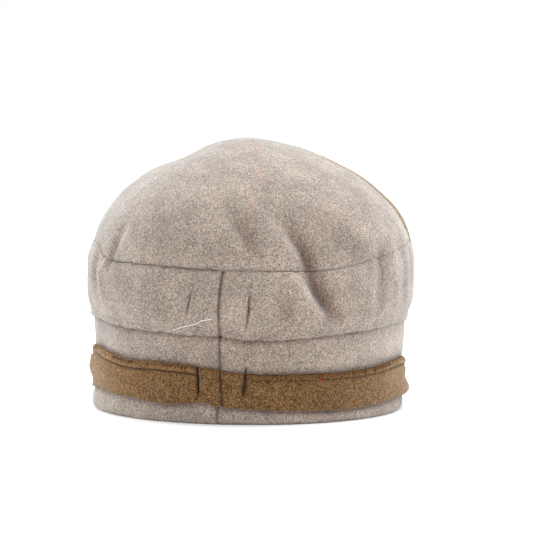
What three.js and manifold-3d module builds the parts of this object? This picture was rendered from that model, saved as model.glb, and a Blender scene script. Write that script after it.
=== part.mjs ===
// A two-tone fleece beanie, built as it is sewn: a domed crown of a back and a front panel, a tall
// side band whose lower edge is tucked under, a lower band that ends in a rolled edge, and a
// contrast strip with a hemmed top edge that is wrapped round the lower band.
// Millimetres, +Z up. The hat stands on its rolled edge at Z 0, centred on the Z axis.
// The back of the head is at -Y, the forehead at +Y and the wearer's right at +X.

import * as THREE from "three";
import { mergeVertices } from "three/addons/utils/BufferGeometryUtils.js";
import Module from "manifold-3d";

// Driving dimensions.
const WALL = 2.6; // thickness of the fleece
const GAP = 0.3; // left between two pieces that are sewn together
const DEPTH_RATIO = 1.06; // how much deeper the hat is, front to back, than it is wide
const COLUMNS = 72; // flat facets round each ring
const BACK_DENSITY = 28; // degrees by which the facets crowd towards the back, where the folds are

const CROWN_HALF_WIDTH = 94.4; // where the dome is widest
const CROWN_BASE_HEIGHT = 96; // the height of that widest level
const CROWN_RISE = 65.5; // from there to the top
const CROWN_WIDTH_POWER = 1.6; // exponents of the dome's curve: two 2s make an ellipse,
const CROWN_RISE_POWER = 1.88; // and two 1s a cone
const CROWN_ROWS = 11;
const SEAM_STEPS = 12; // straight steps along the seam between the crown's panels

const BAND_HALF_WIDTH = 94.3; // side band, at its top seam
const LOWER_HALF_WIDTH = 91.4; // lower band, outside
const LOWER_FLARE = 1.2; // how much wider it is where the side band overlaps it
const STRIP_HALF_WIDTH = 94; // contrast strip, outside
const TUCK_OVERLAP = 6; // how far the lower band runs up behind the side band
const ROLL_HEIGHT = 11; // rolled bottom edge
const ROLL_STANDS_OUT = 0.9; // past the lower band
const SINK = 1.4; // how far the hat's own weight presses the roll flat
const LEAN = 0.0087; // and how much less it does so with each mm towards the wearer's right
const HEM_HEIGHT = 5; // folded hem along the top of the contrast strip

const GREIGE = { color: 0xb4a496, roughness: 0.95, metalness: 0 };
const TAN = { color: 0x8a683f, roughness: 0.95, metalness: 0 };

// The edges that run round the hat. turn is in degrees from the centre back towards the wearer's
// right, the rest are heights: the lower and upper edge of the contrast strip, the tucked lower
// edge of the side band and the seam between the side band and the crown.
// foot and waist are how far the strip swells low down and halfway up, and hem is how thick it is
// along its folded top edge.
const EDGES = [
  { turn: -180, stripLow: 9.5, stripHigh: 33.0, tuck: 53.0, seam: 101.0, foot: 0.2, waist: 0.3, hem: 2.5 },
  { turn: -140, stripLow: 10.0, stripHigh: 34.0, tuck: 53.6, seam: 101.0, foot: 0.0, waist: 0.6, hem: 2.0 },
  { turn: -105, stripLow: 11.4, stripHigh: 35.6, tuck: 55.0, seam: 101.0, foot: -1.0, waist: 0.6, hem: 1.2 },
  { turn: -80, stripLow: 13.6, stripHigh: 37.8, tuck: 56.0, seam: 100.8, foot: -1.4, waist: 0.9, hem: 1.0 },
  { turn: -60, stripLow: 15.6, stripHigh: 40.8, tuck: 56.8, seam: 99.8, foot: -0.5, waist: 1.0, hem: 1.3 },
  { turn: -51, stripLow: 15.4, stripHigh: 39.4, tuck: 55.8, seam: 92.8, foot: 0.0, waist: 1.2, hem: 2.2 },
  { turn: -42, stripLow: 14.4, stripHigh: 37.6, tuck: 54.4, seam: 90.9, foot: 0.2, waist: 1.0, hem: 2.4 },
  { turn: -34, stripLow: 14.2, stripHigh: 36.3, tuck: 53.5, seam: 90.7, foot: 0.2, waist: 0.8, hem: 2.5 },
  { turn: -20, stripLow: 12.4, stripHigh: 36.2, tuck: 53.0, seam: 89.8, foot: 0.3, waist: 0.6, hem: 2.6 },
  { turn: -10, stripLow: 13.0, stripHigh: 35.0, tuck: 52.0, seam: 88.9, foot: 0.3, waist: 0.5, hem: 2.6 },
  { turn: -4, stripLow: 14.1, stripHigh: 33.7, tuck: 51.9, seam: 88.4, foot: 0.3, waist: 0.4, hem: 2.5 },
  { turn: 2, stripLow: 11.9, stripHigh: 32.4, tuck: 51.6, seam: 88.1, foot: 0.3, waist: 0.4, hem: 2.3 },
  { turn: 9, stripLow: 10.8, stripHigh: 30.8, tuck: 50.0, seam: 87.8, foot: 0.3, waist: 0.4, hem: 2.2 },
  { turn: 18, stripLow: 9.5, stripHigh: 29.9, tuck: 49.1, seam: 87.6, foot: 0.3, waist: 0.5, hem: 2.2 },
  { turn: 30, stripLow: 8.3, stripHigh: 29.8, tuck: 49.8, seam: 87.5, foot: 0.3, waist: 0.6, hem: 2.5 },
  { turn: 45, stripLow: 7.7, stripHigh: 29.7, tuck: 51.2, seam: 88.3, foot: 0.5, waist: 0.5, hem: 2.6 },
  { turn: 60, stripLow: 8.2, stripHigh: 30.6, tuck: 52.6, seam: 92.8, foot: 0.8, waist: 0.3, hem: 2.6 },
  { turn: 85, stripLow: 9.9, stripHigh: 33.4, tuck: 54.0, seam: 99.4, foot: 2.0, waist: -0.3, hem: 2.2 },
  { turn: 95, stripLow: 9.7, stripHigh: 31.2, tuck: 54.2, seam: 100.4, foot: 2.1, waist: -0.3, hem: 1.5 },
  { turn: 108, stripLow: 9.5, stripHigh: 29.8, tuck: 54.2, seam: 101.0, foot: 1.9, waist: -0.2, hem: 1.3 },
  { turn: 140, stripLow: 9.4, stripHigh: 31.0, tuck: 53.4, seam: 101.0, foot: 0.6, waist: 0.0, hem: 2.2 },
];

// The seam between the crown's two panels as it is seen from the side: how far towards the
// forehead it lies at each height.
const PANEL_SEAM = [
  { height: 80, forward: 8 },
  { height: 101, forward: 5 },
  { height: 112, forward: 0.5 },
  { height: 126, forward: 0.5 },
  { height: 142, forward: 3.5 },
  { height: 170, forward: 6 },
];

// Folds pressed into the side band and the crown, each along a path. depth is inwards, so a
// ridge has a negative one, and width is the reach to either side.
const FOLDS = [
  {
    name: "deep fold, right of the back",
    path: [
      { turn: 19, height: 124, depth: 0.3, width: 9 },
      { turn: 25, height: 113, depth: 3.2, width: 8 },
      { turn: 29.5, height: 102, depth: 5.5, width: 7 },
      { turn: 33.5, height: 90, depth: 6.5, width: 7 },
      { turn: 36, height: 76, depth: 5.5, width: 6 },
      { turn: 40.5, height: 66, depth: 3.5, width: 7 },
      { turn: 45, height: 57, depth: 0.3, width: 8 },
    ],
  },
  {
    name: "ridge beside the deep fold",
    path: [
      { turn: 16.5, height: 118, depth: -0.3, width: 6 },
      { turn: 22.5, height: 104, depth: -1.8, width: 6 },
      { turn: 27, height: 88, depth: -2.2, width: 6 },
      { turn: 32, height: 75, depth: -2.0, width: 6 },
      { turn: 37, height: 66, depth: -1.5, width: 6 },
      { turn: 41, height: 58, depth: -0.3, width: 6 },
    ],
  },
  {
    name: "faint fold in the crown",
    path: [
      { turn: 4, height: 120, depth: 0.2, width: 7 },
      { turn: 9, height: 107, depth: 2.4, width: 6 },
      { turn: 14, height: 94, depth: 0.4, width: 7 },
    ],
  },
  {
    name: "dimple in the crown, left of the back",
    path: [
      { turn: -37, height: 112, depth: 0.3, width: 7 },
      { turn: -42, height: 101, depth: 1.6, width: 6 },
      { turn: -50, height: 93, depth: 2.2, width: 5 },
    ],
  },
  {
    name: "crease in the side band, left of the back",
    path: [
      { turn: -57.5, height: 99, depth: 2.0, width: 5 },
      { turn: -58.5, height: 85, depth: 2.0, width: 5 },
      { turn: -55, height: 69, depth: 0.3, width: 5 },
    ],
  },
  {
    name: "hollow on the upper left",
    path: [
      { turn: -95, height: 149.5, depth: 2.2, width: 15 },
      { turn: -60, height: 153, depth: 2.2, width: 15 },
    ],
  },
  {
    name: "hollow on the upper right",
    path: [
      { turn: 70, height: 146, depth: 1.0, width: 14 },
      { turn: 120, height: 145, depth: 1.0, width: 14 },
    ],
  },
  {
    name: "ripple on the right",
    path: [
      { turn: 64, height: 97, depth: 1.5, width: 6 },
      { turn: 63, height: 66, depth: 0.9, width: 6 },
    ],
  },
  {
    name: "sag in the front panel",
    path: [
      { turn: 150, height: 124, depth: 2.0, width: 18 },
      { turn: 195, height: 120, depth: 2.0, width: 18 },
    ],
  },
];

// How far each level of the soft hat has slipped towards the wearer's right.
const SWAY = [
  { height: 0, sideways: -0.8 },
  { height: 12, sideways: -0.8 },
  { height: 30, sideways: -0.6 },
  { height: 44, sideways: 0.0 },
  { height: 88, sideways: 0.4 },
  { height: 104, sideways: 1.2 },
  { height: 118, sideways: 1.1 },
  { height: 131, sideways: -0.2 },
  { height: 148, sideways: 0.2 },
  { height: 162, sideways: -2.7 },
];

const radians = THREE.MathUtils.degToRad;

/** One edge height at a turn, by a smooth curve through the rows of EDGES. */
function edgeAt(name, turn) {
  const rows = EDGES.length;
  const wrapped = ((((turn + 180) % 360) + 360) % 360) - 180;
  const after = EDGES.findIndex((row) => row.turn > wrapped);
  const second = after === -1 ? rows : after;
  const row = (index) => {
    const laps = Math.floor(index / rows);
    const found = EDGES[index - laps * rows];
    return { turn: found.turn + 360 * laps, value: found[name] };
  };
  const [a, b, c, d] = [-2, -1, 0, 1].map((step) => row(second + step));
  const span = c.turn - b.turn;
  const share = (wrapped - b.turn) / span;
  const leaving = ((c.value - a.value) / (c.turn - a.turn)) * span;
  const arriving = ((d.value - b.value) / (d.turn - b.turn)) * span;
  const square = share * share;
  const cube = square * share;
  return (
    (2 * cube - 3 * square + 1) * b.value +
    (cube - 2 * square + share) * leaving +
    (3 * square - 2 * cube) * c.value +
    (cube - square) * arriving
  );
}

/** The turn of one of the facets' edges. They lie closest together at the centre back. */
function turnOf(column) {
  const lap = column / COLUMNS - 0.5;
  return 360 * lap - BACK_DENSITY * Math.sin(2 * Math.PI * lap);
}

/** How far the hat has slipped sideways at a height. */
function swayAt(height) {
  const above = SWAY.findIndex((row) => row.height > height);
  if (above === 0) return SWAY[0].sideways;
  if (above === -1) return SWAY[SWAY.length - 1].sideways;
  const [from, to] = [SWAY[above - 1], SWAY[above]];
  const share = THREE.MathUtils.smoothstep(height, from.height, to.height);
  return THREE.MathUtils.lerp(from.sideways, to.sideways, share);
}

/** The point at a turn, a half width and a height, before any fold. */
function onRing(turn, halfWidth, height) {
  const angle = radians(turn);
  return new THREE.Vector3(
    halfWidth * Math.sin(angle),
    -halfWidth * DEPTH_RATIO * Math.cos(angle),
    height,
  );
}

/** Half width of the dome at a climb from 0, where it is widest, to 90 degrees, its top. */
function domeHalfWidth(climb) {
  return CROWN_HALF_WIDTH * Math.cos(radians(climb)) ** (2 / CROWN_WIDTH_POWER);
}

/** Height of the dome at a climb. Below 0 it curls in again towards its seam. */
function domeHeight(climb) {
  const sine = Math.sin(radians(climb));
  const rise = Math.sign(sine) * Math.abs(sine) ** (2 / CROWN_RISE_POWER);
  return CROWN_BASE_HEIGHT + CROWN_RISE * rise;
}

/** The climb at which the dome reaches a height. */
function domeClimb(height) {
  const rise = (height - CROWN_BASE_HEIGHT) / CROWN_RISE;
  const sine = Math.sign(rise) * Math.abs(rise) ** (CROWN_RISE_POWER / 2);
  return THREE.MathUtils.radToDeg(Math.asin(sine));
}

/** Half width of the outside of the crown or the side band at a height, where a fold's path lies. */
function outsideHalfWidth(height) {
  const dome = Math.min(Math.max(height, CROWN_BASE_HEIGHT), CROWN_BASE_HEIGHT + CROWN_RISE);
  return domeHalfWidth(domeClimb(dome));
}

const foldPaths = FOLDS.map((fold) =>
  fold.path.map((stop) => ({
    ...stop,
    place: onRing(stop.turn, outsideHalfWidth(stop.height), stop.height),
  })),
);

/** How far the folds press in at a point of the outside surface. */
function pressAt(point) {
  let total = 0;
  for (const path of foldPaths) {
    let best = { gap: Infinity, depth: 0, width: 1 };
    for (let i = 0; i + 1 < path.length; i++) {
      const [from, to] = [path[i], path[i + 1]];
      const line = new THREE.Line3(from.place, to.place);
      const share = line.closestPointToPointParameter(point, true);
      const gap = line.at(share, new THREE.Vector3()).distanceTo(point);
      if (gap < best.gap) {
        best = {
          gap,
          depth: THREE.MathUtils.lerp(from.depth, to.depth, share),
          width: THREE.MathUtils.lerp(from.width, to.width, share),
        };
      }
    }
    total += best.depth * Math.exp(-((best.gap / best.width) ** 2));
  }
  return total;
}

const CORE = new THREE.Vector3(0, 0, 72); // folds press towards this point inside the hat

/** Moves a point of a wall by the folds, measured on the outside surface, the sway and the sink. */
function settled(point, outside) {
  const inwards = CORE.clone().sub(outside).normalize();
  const height = point.z;
  point.addScaledVector(inwards, pressAt(outside));
  point.x += swayAt(height);
  point.z += Math.min(point.z / ROLL_HEIGHT, 1) * (LEAN * point.x - SINK);
  return point;
}

function geometryOf(points, triangles) {
  const geometry = new THREE.BufferGeometry();
  geometry.setAttribute(
    "position",
    new THREE.Float32BufferAttribute(
      points.flatMap((point) => point.toArray()),
      3,
    ),
  );
  geometry.setIndex(triangles);
  geometry.computeVertexNormals();
  return geometry;
}

/** A closed ring: loopAt(turn) gives its section as [halfWidth, height] pairs, outside going up. */
function ringOf(loopAt) {
  const points = [];
  const triangles = [];
  const loops = [];
  for (let column = 0; column < COLUMNS; column++) {
    const turn = turnOf(column);
    loops.push(loopAt(turn));
    for (const [halfWidth, height] of loops[column]) {
      const outside = onRing(turn, outsideHalfWidth(height), height);
      points.push(settled(onRing(turn, halfWidth, height), outside));
    }
  }
  const count = loops[0].length;
  for (let column = 0; column < COLUMNS; column++) {
    for (let row = 0; row < count; row++) {
      const next = (column + 1) % COLUMNS;
      const above = (row + 1) % count;
      const [a, b] = [column * count + row, next * count + row];
      const [c, d] = [next * count + above, column * count + above];
      triangles.push(a, b, c, a, c, d);
    }
  }
  return geometryOf(points, triangles);
}

/** The whole dome as one closed wall, from the seam up to the top outside and back down inside. */
function domeGeometry() {
  const points = [];
  const triangles = [];
  const perColumn = 2 * CROWN_ROWS;
  for (let column = 0; column < COLUMNS; column++) {
    const turn = turnOf(column);
    const footClimb = domeClimb(edgeAt("seam", turn) + GAP);
    const climbs = Array.from(
      { length: CROWN_ROWS },
      (_, row) => footClimb + ((90 - footClimb) * row) / CROWN_ROWS,
    );
    const outside = climbs.map((climb) => onRing(turn, domeHalfWidth(climb), domeHeight(climb)));
    const inside = outside.map((point, row) => {
      const inwards = new THREE.Vector3(0, 0, row ? CROWN_BASE_HEIGHT - CROWN_RISE / 4 : point.z)
        .sub(point)
        .normalize();
      return point.clone().addScaledVector(inwards, WALL);
    });
    points.push(...outside.map((point) => settled(point.clone(), point)));
    points.push(...inside.map((point, row) => settled(point, outside[row])).reverse());
  }
  const topOutside = points.length;
  const top = new THREE.Vector3(0, 0, CROWN_BASE_HEIGHT + CROWN_RISE);
  points.push(settled(top.clone(), top));
  const topInside = points.length;
  points.push(settled(top.clone().setZ(top.z - WALL), top));
  for (let column = 0; column < COLUMNS; column++) {
    const here = column * perColumn;
    const next = ((column + 1) % COLUMNS) * perColumn;
    for (let row = 0; row < perColumn; row++) {
      if (row === CROWN_ROWS - 1) continue;
      const above = (row + 1) % perColumn;
      triangles.push(here + row, next + row, next + above);
      triangles.push(here + row, next + above, here + above);
    }
    triangles.push(here + CROWN_ROWS - 1, next + CROWN_ROWS - 1, topOutside);
    triangles.push(here + CROWN_ROWS, topInside, next + CROWN_ROWS);
  }
  return geometryOf(points, triangles);
}

const wasm = await Module();
wasm.setup();

function solidOf(geometry) {
  const bare = geometry.clone();
  bare.deleteAttribute("normal");
  if (bare.getAttribute("uv")) bare.deleteAttribute("uv");
  const merged = mergeVertices(bare, 1e-4);
  return new wasm.Manifold(
    new wasm.Mesh({
      numProp: 3,
      vertProperties: new Float32Array(merged.attributes.position.array),
      triVerts: new Uint32Array(merged.index.array),
    }),
  );
}

function geometryFromSolid(solid) {
  const mesh = solid.getMesh();
  const geometry = new THREE.BufferGeometry();
  geometry.setAttribute("position", new THREE.BufferAttribute(mesh.vertProperties, 3));
  geometry.setIndex(new THREE.BufferAttribute(mesh.triVerts, 1));
  geometry.computeVertexNormals();
  return geometry;
}

/** All that lies to one side of the panel seam: side 1 is the forehead's, side -1 the back's. */
function besidePanelSeam(side) {
  const reach = 200;
  const stops = PANEL_SEAM.map(
    (row) => new THREE.Vector2(row.forward + side * (GAP / 2), row.height),
  );
  const edge = new THREE.SplineCurve(stops).getPoints(SEAM_STEPS);
  const low = new THREE.Vector2(side * reach, edge[0].y);
  const high = new THREE.Vector2(side * reach, edge[SEAM_STEPS].y);
  const block = new THREE.ExtrudeGeometry(new THREE.Shape([low, ...edge, high]), {
    depth: 2 * reach,
    bevelEnabled: false,
  });
  block.rotateY(Math.PI / 2);
  block.rotateX(Math.PI / 2);
  block.translate(-reach, 0, 0);
  return solidOf(block);
}

/** The side band: outside from the tucked lower edge up to the seam, then down inside. */
function sideBandLoop(turn) {
  const low = edgeAt("tuck", turn);
  const high = edgeAt("seam", turn);
  const at = (share) => low + (high - low) * share;
  const lip = LOWER_HALF_WIDTH + LOWER_FLARE + GAP;
  return [
    [lip, low],
    [lip + 1.1, low],
    [BAND_HALF_WIDTH - 0.4, at(0.09)],
    [BAND_HALF_WIDTH + 2.3, at(0.25)],
    [BAND_HALF_WIDTH + 2.8, at(0.5)],
    [BAND_HALF_WIDTH + 2.3, at(0.78)],
    [BAND_HALF_WIDTH + 1.2, at(0.93)],
    [BAND_HALF_WIDTH - 0.6, high],
    [BAND_HALF_WIDTH - 0.6 - WALL, high],
    [BAND_HALF_WIDTH + 2.3 - WALL, at(0.78)],
    [BAND_HALF_WIDTH + 2.8 - WALL, at(0.5)],
    [BAND_HALF_WIDTH + 1.9 - WALL, at(0.27)],
    [lip, low + TUCK_OVERLAP + 1],
  ];
}

/** The lower band: a tube whose bottom is turned up inside into the roll that the hat stands on. */
function lowerBandLoop(turn) {
  const tuck = edgeAt("tuck", turn);
  const stripLow = edgeAt("stripLow", turn);
  const stripHigh = edgeAt("stripHigh", turn);
  const inside = LOWER_HALF_WIDTH - WALL;
  const roll = LOWER_HALF_WIDTH + ROLL_STANDS_OUT;
  return [
    [roll - 5.2, 0],
    [roll - 1.4, 0],
    [roll, 2],
    [roll, stripLow * 0.55],
    [LOWER_HALF_WIDTH, stripLow * 0.88],
    [LOWER_HALF_WIDTH, stripHigh + 2],
    [LOWER_HALF_WIDTH + LOWER_FLARE, tuck - 1.5],
    [LOWER_HALF_WIDTH + LOWER_FLARE, tuck + TUCK_OVERLAP],
    [inside + LOWER_FLARE, tuck + TUCK_OVERLAP],
    [inside, stripHigh],
    [inside, ROLL_HEIGHT + 2],
    [inside - 2.2, ROLL_HEIGHT - 1],
    [inside - 3, ROLL_HEIGHT / 2],
  ];
}

/** The contrast strip, with a hem folded to the outside along its top edge. */
function stripLoop(turn) {
  const low = edgeAt("stripLow", turn);
  const high = edgeAt("stripHigh", turn);
  const foot = edgeAt("foot", turn);
  const waist = edgeAt("waist", turn);
  const hem = edgeAt("hem", turn);
  const groove = high - HEM_HEIGHT;
  const at = (share) => low + (groove - low) * share;
  const inside = LOWER_HALF_WIDTH + GAP;
  return [
    [inside, low],
    [STRIP_HALF_WIDTH - 0.8, low],
    [STRIP_HALF_WIDTH + foot, at(0.15)],
    [STRIP_HALF_WIDTH + waist, at(0.55)],
    [STRIP_HALF_WIDTH + waist * 0.5 - 0.3, at(0.85)],
    [inside + hem * 0.62, groove],
    [inside + hem, groove + 0.9],
    [inside + hem, high - 1.2],
    [inside + hem * 0.55, high],
    [inside, high],
    [inside, at(0.5)],
  ];
}

const hat = new THREE.Group();

function add(name, geometry, look) {
  const mesh = new THREE.Mesh(geometry, new THREE.MeshStandardMaterial(look));
  mesh.name = name;
  hat.add(mesh);
}

const dome = solidOf(domeGeometry());
add("crown_back", geometryFromSolid(dome.intersect(besidePanelSeam(-1))), GREIGE);
add("crown_front", geometryFromSolid(dome.intersect(besidePanelSeam(1))), TAN);
add("side_band", ringOf(sideBandLoop), GREIGE);
add("lower_band", ringOf(lowerBandLoop), GREIGE);
add("contrast_strip", ringOf(stripLoop), TAN);

export default hat;
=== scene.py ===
import math

import bmesh
import bpy
import numpy as np
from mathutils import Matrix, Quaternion, Vector
from mathutils.bvhtree import BVHTree


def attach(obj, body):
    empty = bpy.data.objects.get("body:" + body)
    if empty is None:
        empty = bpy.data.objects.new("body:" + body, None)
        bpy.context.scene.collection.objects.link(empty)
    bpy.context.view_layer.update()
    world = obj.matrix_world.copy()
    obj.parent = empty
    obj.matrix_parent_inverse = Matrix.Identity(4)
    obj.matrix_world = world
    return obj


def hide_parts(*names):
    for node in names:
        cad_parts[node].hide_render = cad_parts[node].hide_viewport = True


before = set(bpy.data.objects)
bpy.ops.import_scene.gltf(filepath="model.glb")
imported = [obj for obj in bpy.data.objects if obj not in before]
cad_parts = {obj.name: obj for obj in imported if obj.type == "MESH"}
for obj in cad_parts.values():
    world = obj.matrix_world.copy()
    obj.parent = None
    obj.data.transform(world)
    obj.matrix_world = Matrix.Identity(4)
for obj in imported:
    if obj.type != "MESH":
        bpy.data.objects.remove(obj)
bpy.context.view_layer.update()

# Everything below is worked out in millimetres and turned to metres when a mesh is made.
# turn is in degrees from the centre back towards the wearer's right, height is above the floor.
millimetre = 0.001

hat = {
    "depthRatio": 1.06,         # how much deeper the hat is than wide
    "wall": 2.6,                # thickness of the fleece
    "gap": 0.3,                 # left between two pieces that lie on each other
    "seamGap": 0.06,            # left between two edges that are sewn together
    "core": (0.0, 0.0, 72.0),   # folds press towards this point
    "domeHalfWidth": 94.4,
    "domeFoot": 96.0,           # height where the dome is widest
    "domeRise": 65.5,
    "domeWidthPower": 1.6,
    "domeRisePower": 1.88,
    "bandHalfWidth": 94.3,
    "lowerHalfWidth": 91.4,
    "lowerFlare": 1.2,
    "stripHalfWidth": 94.0,
    "tuckOverlap": 6.0,
    "rollHeight": 11.0,
    "rollStandsOut": 0.9,
    "sink": 1.4,                # how far its own weight presses the roll flat
    "lean": 0.0087,             # and how much less it does so with each mm towards the right
}


# The columns of a table, by name.
def table(names, rows):
    return dict(zip(names.split(), np.array(rows, float).T))


# The edges that run round the hat, and how far the strip swells at its foot, waist and hem.
edges = table("turn stripLow stripHigh tuck seam foot waist hem", [
    (-180, 9.5, 33.0, 53.0, 101.0, 0.2, 0.3, 2.5),
    (-140, 10.0, 34.0, 53.6, 101.0, 0.0, 0.6, 2.0),
    (-105, 11.4, 35.6, 55.0, 101.0, -1.0, 0.6, 1.2),
    (-80, 13.6, 37.8, 56.0, 100.8, -1.4, 0.9, 1.0),
    (-60, 15.6, 40.8, 56.8, 99.8, -0.5, 1.0, 1.3),
    (-51, 15.4, 39.4, 55.8, 92.8, 0.0, 1.2, 2.2),
    (-42, 14.4, 37.6, 54.4, 90.9, 0.2, 1.0, 2.4),
    (-34, 14.2, 36.3, 53.5, 90.7, 0.2, 0.8, 2.5),
    (-20, 12.4, 36.2, 53.0, 89.8, 0.3, 0.6, 2.6),
    (-10, 13.0, 35.0, 52.0, 88.9, 0.3, 0.5, 2.6),
    (-4, 14.1, 33.7, 51.9, 88.4, 0.3, 0.4, 2.5),
    (2, 11.9, 32.4, 51.6, 88.1, 0.3, 0.4, 2.3),
    (9, 10.8, 30.8, 50.0, 87.8, 0.3, 0.4, 2.2),
    (18, 9.5, 29.9, 49.1, 87.6, 0.3, 0.5, 2.2),
    (30, 8.3, 29.8, 49.8, 87.5, 0.3, 0.6, 2.5),
    (45, 7.7, 29.7, 51.2, 88.3, 0.5, 0.5, 2.6),
    (60, 8.2, 30.6, 52.6, 92.8, 0.8, 0.3, 2.6),
    (85, 9.9, 33.4, 54.0, 99.4, 2.0, -0.3, 2.2),
    (95, 9.7, 31.2, 54.2, 100.4, 2.1, -0.3, 1.5),
    (108, 9.5, 29.8, 54.2, 101.0, 1.9, -0.2, 1.3),
    (140, 9.4, 31.0, 53.4, 101.0, 0.6, 0.0, 2.2),
])

# How far towards the forehead the seam between the crown's panels lies at each height.
panelSeamLine = table("height forward", [(80, 8), (101, 5), (112, 0.5), (126, 0.5), (142, 3.5), (170, 6)])

# How far each level has slipped towards the wearer's right.
sway = table("height sideways", [
    (0, -0.8), (12, -0.8), (30, -0.6), (44, 0.0), (88, 0.4),
    (104, 1.2), (118, 1.1), (131, -0.2), (148, 0.2), (162, -2.7),
])

# Folds in the crown and the side band. depth is inwards, so a ridge has a negative one, and left
# and right are its reach to either side.
folds = {
    # turn, height, depth, left reach, right reach
    "deepFold": [
        (18.0, 127, 0.3, 9.0, 9.0),
        (24.0, 115, 2.4, 5.6, 7.4),
        (27.8, 106, 4.4, 5.0, 6.8),
        (30.8, 99, 5.8, 4.6, 6.2),
        (32.8, 92, 5.6, 4.4, 5.2),
        (33.6, 87.5, 4.6, 4.6, 4.4),
        (34.2, 82, 5.6, 5.4, 5.4),
        (35.6, 76, 6.6, 5.4, 6.4),
        (38.0, 70, 6.0, 5.4, 6.6),
        (41.2, 64, 4.0, 5.2, 6.4),
        (44.5, 56, 0.5, 5.0, 6.0),
    ],
    "crestBesideIt": [
        (16.5, 118, -0.3, 9.0, 6.0),
        (22.4, 104, -1.3, 8.0, 5.0),
        (24.8, 95, -1.6, 7.0, 4.6),
        (23.6, 89.5, -1.4, 6.5, 4.0),
        (25.8, 85, -2.1, 6.0, 3.4),
        (28.8, 80, -2.5, 6.0, 3.0),
        (31.4, 74, -2.4, 6.0, 3.0),
        (35.0, 67, -1.8, 6.0, 3.2),
        (38.6, 60, -0.2, 6.0, 4.0),
    ],
    "streakLeftOfTheCrest": [
        (22.6, 78, 0.1, 3.4, 3.4),
        (24.8, 70, 0.7, 3.4, 3.4),
        (27.6, 60, 0.1, 3.4, 3.4),
    ],
    "faintFoldInTheCrown": [
        (3.5, 121, 0.2, 5.0, 7.0),
        (7.0, 113, 2.6, 3.4, 6.0),
        (10.5, 104, 3.4, 3.2, 6.0),
        (14.0, 95, 1.2, 4.0, 6.0),
        (16.5, 88, 0.2, 4.0, 6.0),
    ],
    "dimpleRight": [
        (49.0, 108, 0.2, 6.0, 6.0),
        (49.5, 99, 1.0, 6.0, 6.0),
        (50.0, 92, 0.5, 5.0, 5.0),
    ],
    "dimpleLeftInTheCrown": [
        (-40.0, 115, 0.2, 5.0, 5.0),
        (-42.5, 108, 1.5, 3.4, 4.4),
        (-45.4, 99, 2.3, 3.0, 4.4),
        (-47.0, 91, 1.6, 3.0, 4.0),
    ],
    "creaseLeftInTheBand": [
        (-56.5, 92, 1.6, 4.5, 2.2),
        (-58.0, 84, 2.4, 5.0, 2.4),
        (-55.5, 73, 1.0, 5.0, 3.0),
        (-50.5, 63, 0.1, 5.0, 5.0),
    ],
    "ridgeBesideThatCrease": [
        (-49.0, 91, -0.5, 3.0, 4.0),
        (-52.5, 84, -1.2, 2.4, 4.0),
        (-50.0, 73, -0.8, 2.6, 4.0),
        (-45.5, 62, -0.1, 3.0, 4.0),
    ],
    "hollowUpperLeft": [(-95, 149.5, 2.2, 15.0, 15.0), (-60, 153, 2.2, 15.0, 15.0)],
    "hollowUpperRight": [(70, 146, 1.0, 14.0, 14.0), (120, 145, 1.0, 14.0, 14.0)],
    "rippleRight": [(63.5, 95, 1.2, 4.5, 4.5), (63.0, 84, 2.0, 5.0, 5.0), (61.5, 64, 0.8, 6.0, 5.0)],
    "ridgeBesideThatRipple": [(72.0, 95, -0.6, 3.6, 4.0), (72.4, 68, -0.8, 3.6, 4.0)],
    "rippleFarRight": [(79.5, 94, 0.9, 4.0, 4.0), (79.5, 68, 0.9, 4.0, 4.0)],
    "ridgeFarRight": [(88.0, 96, -0.8, 2.6, 3.0), (88.4, 78, -0.6, 2.6, 3.0), (87, 66, -0.1, 2.6, 3.0)],
    "sagInFront": [(150, 124, 2.0, 18.0, 18.0), (195, 120, 2.0, 18.0, 18.0)],
}

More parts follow.
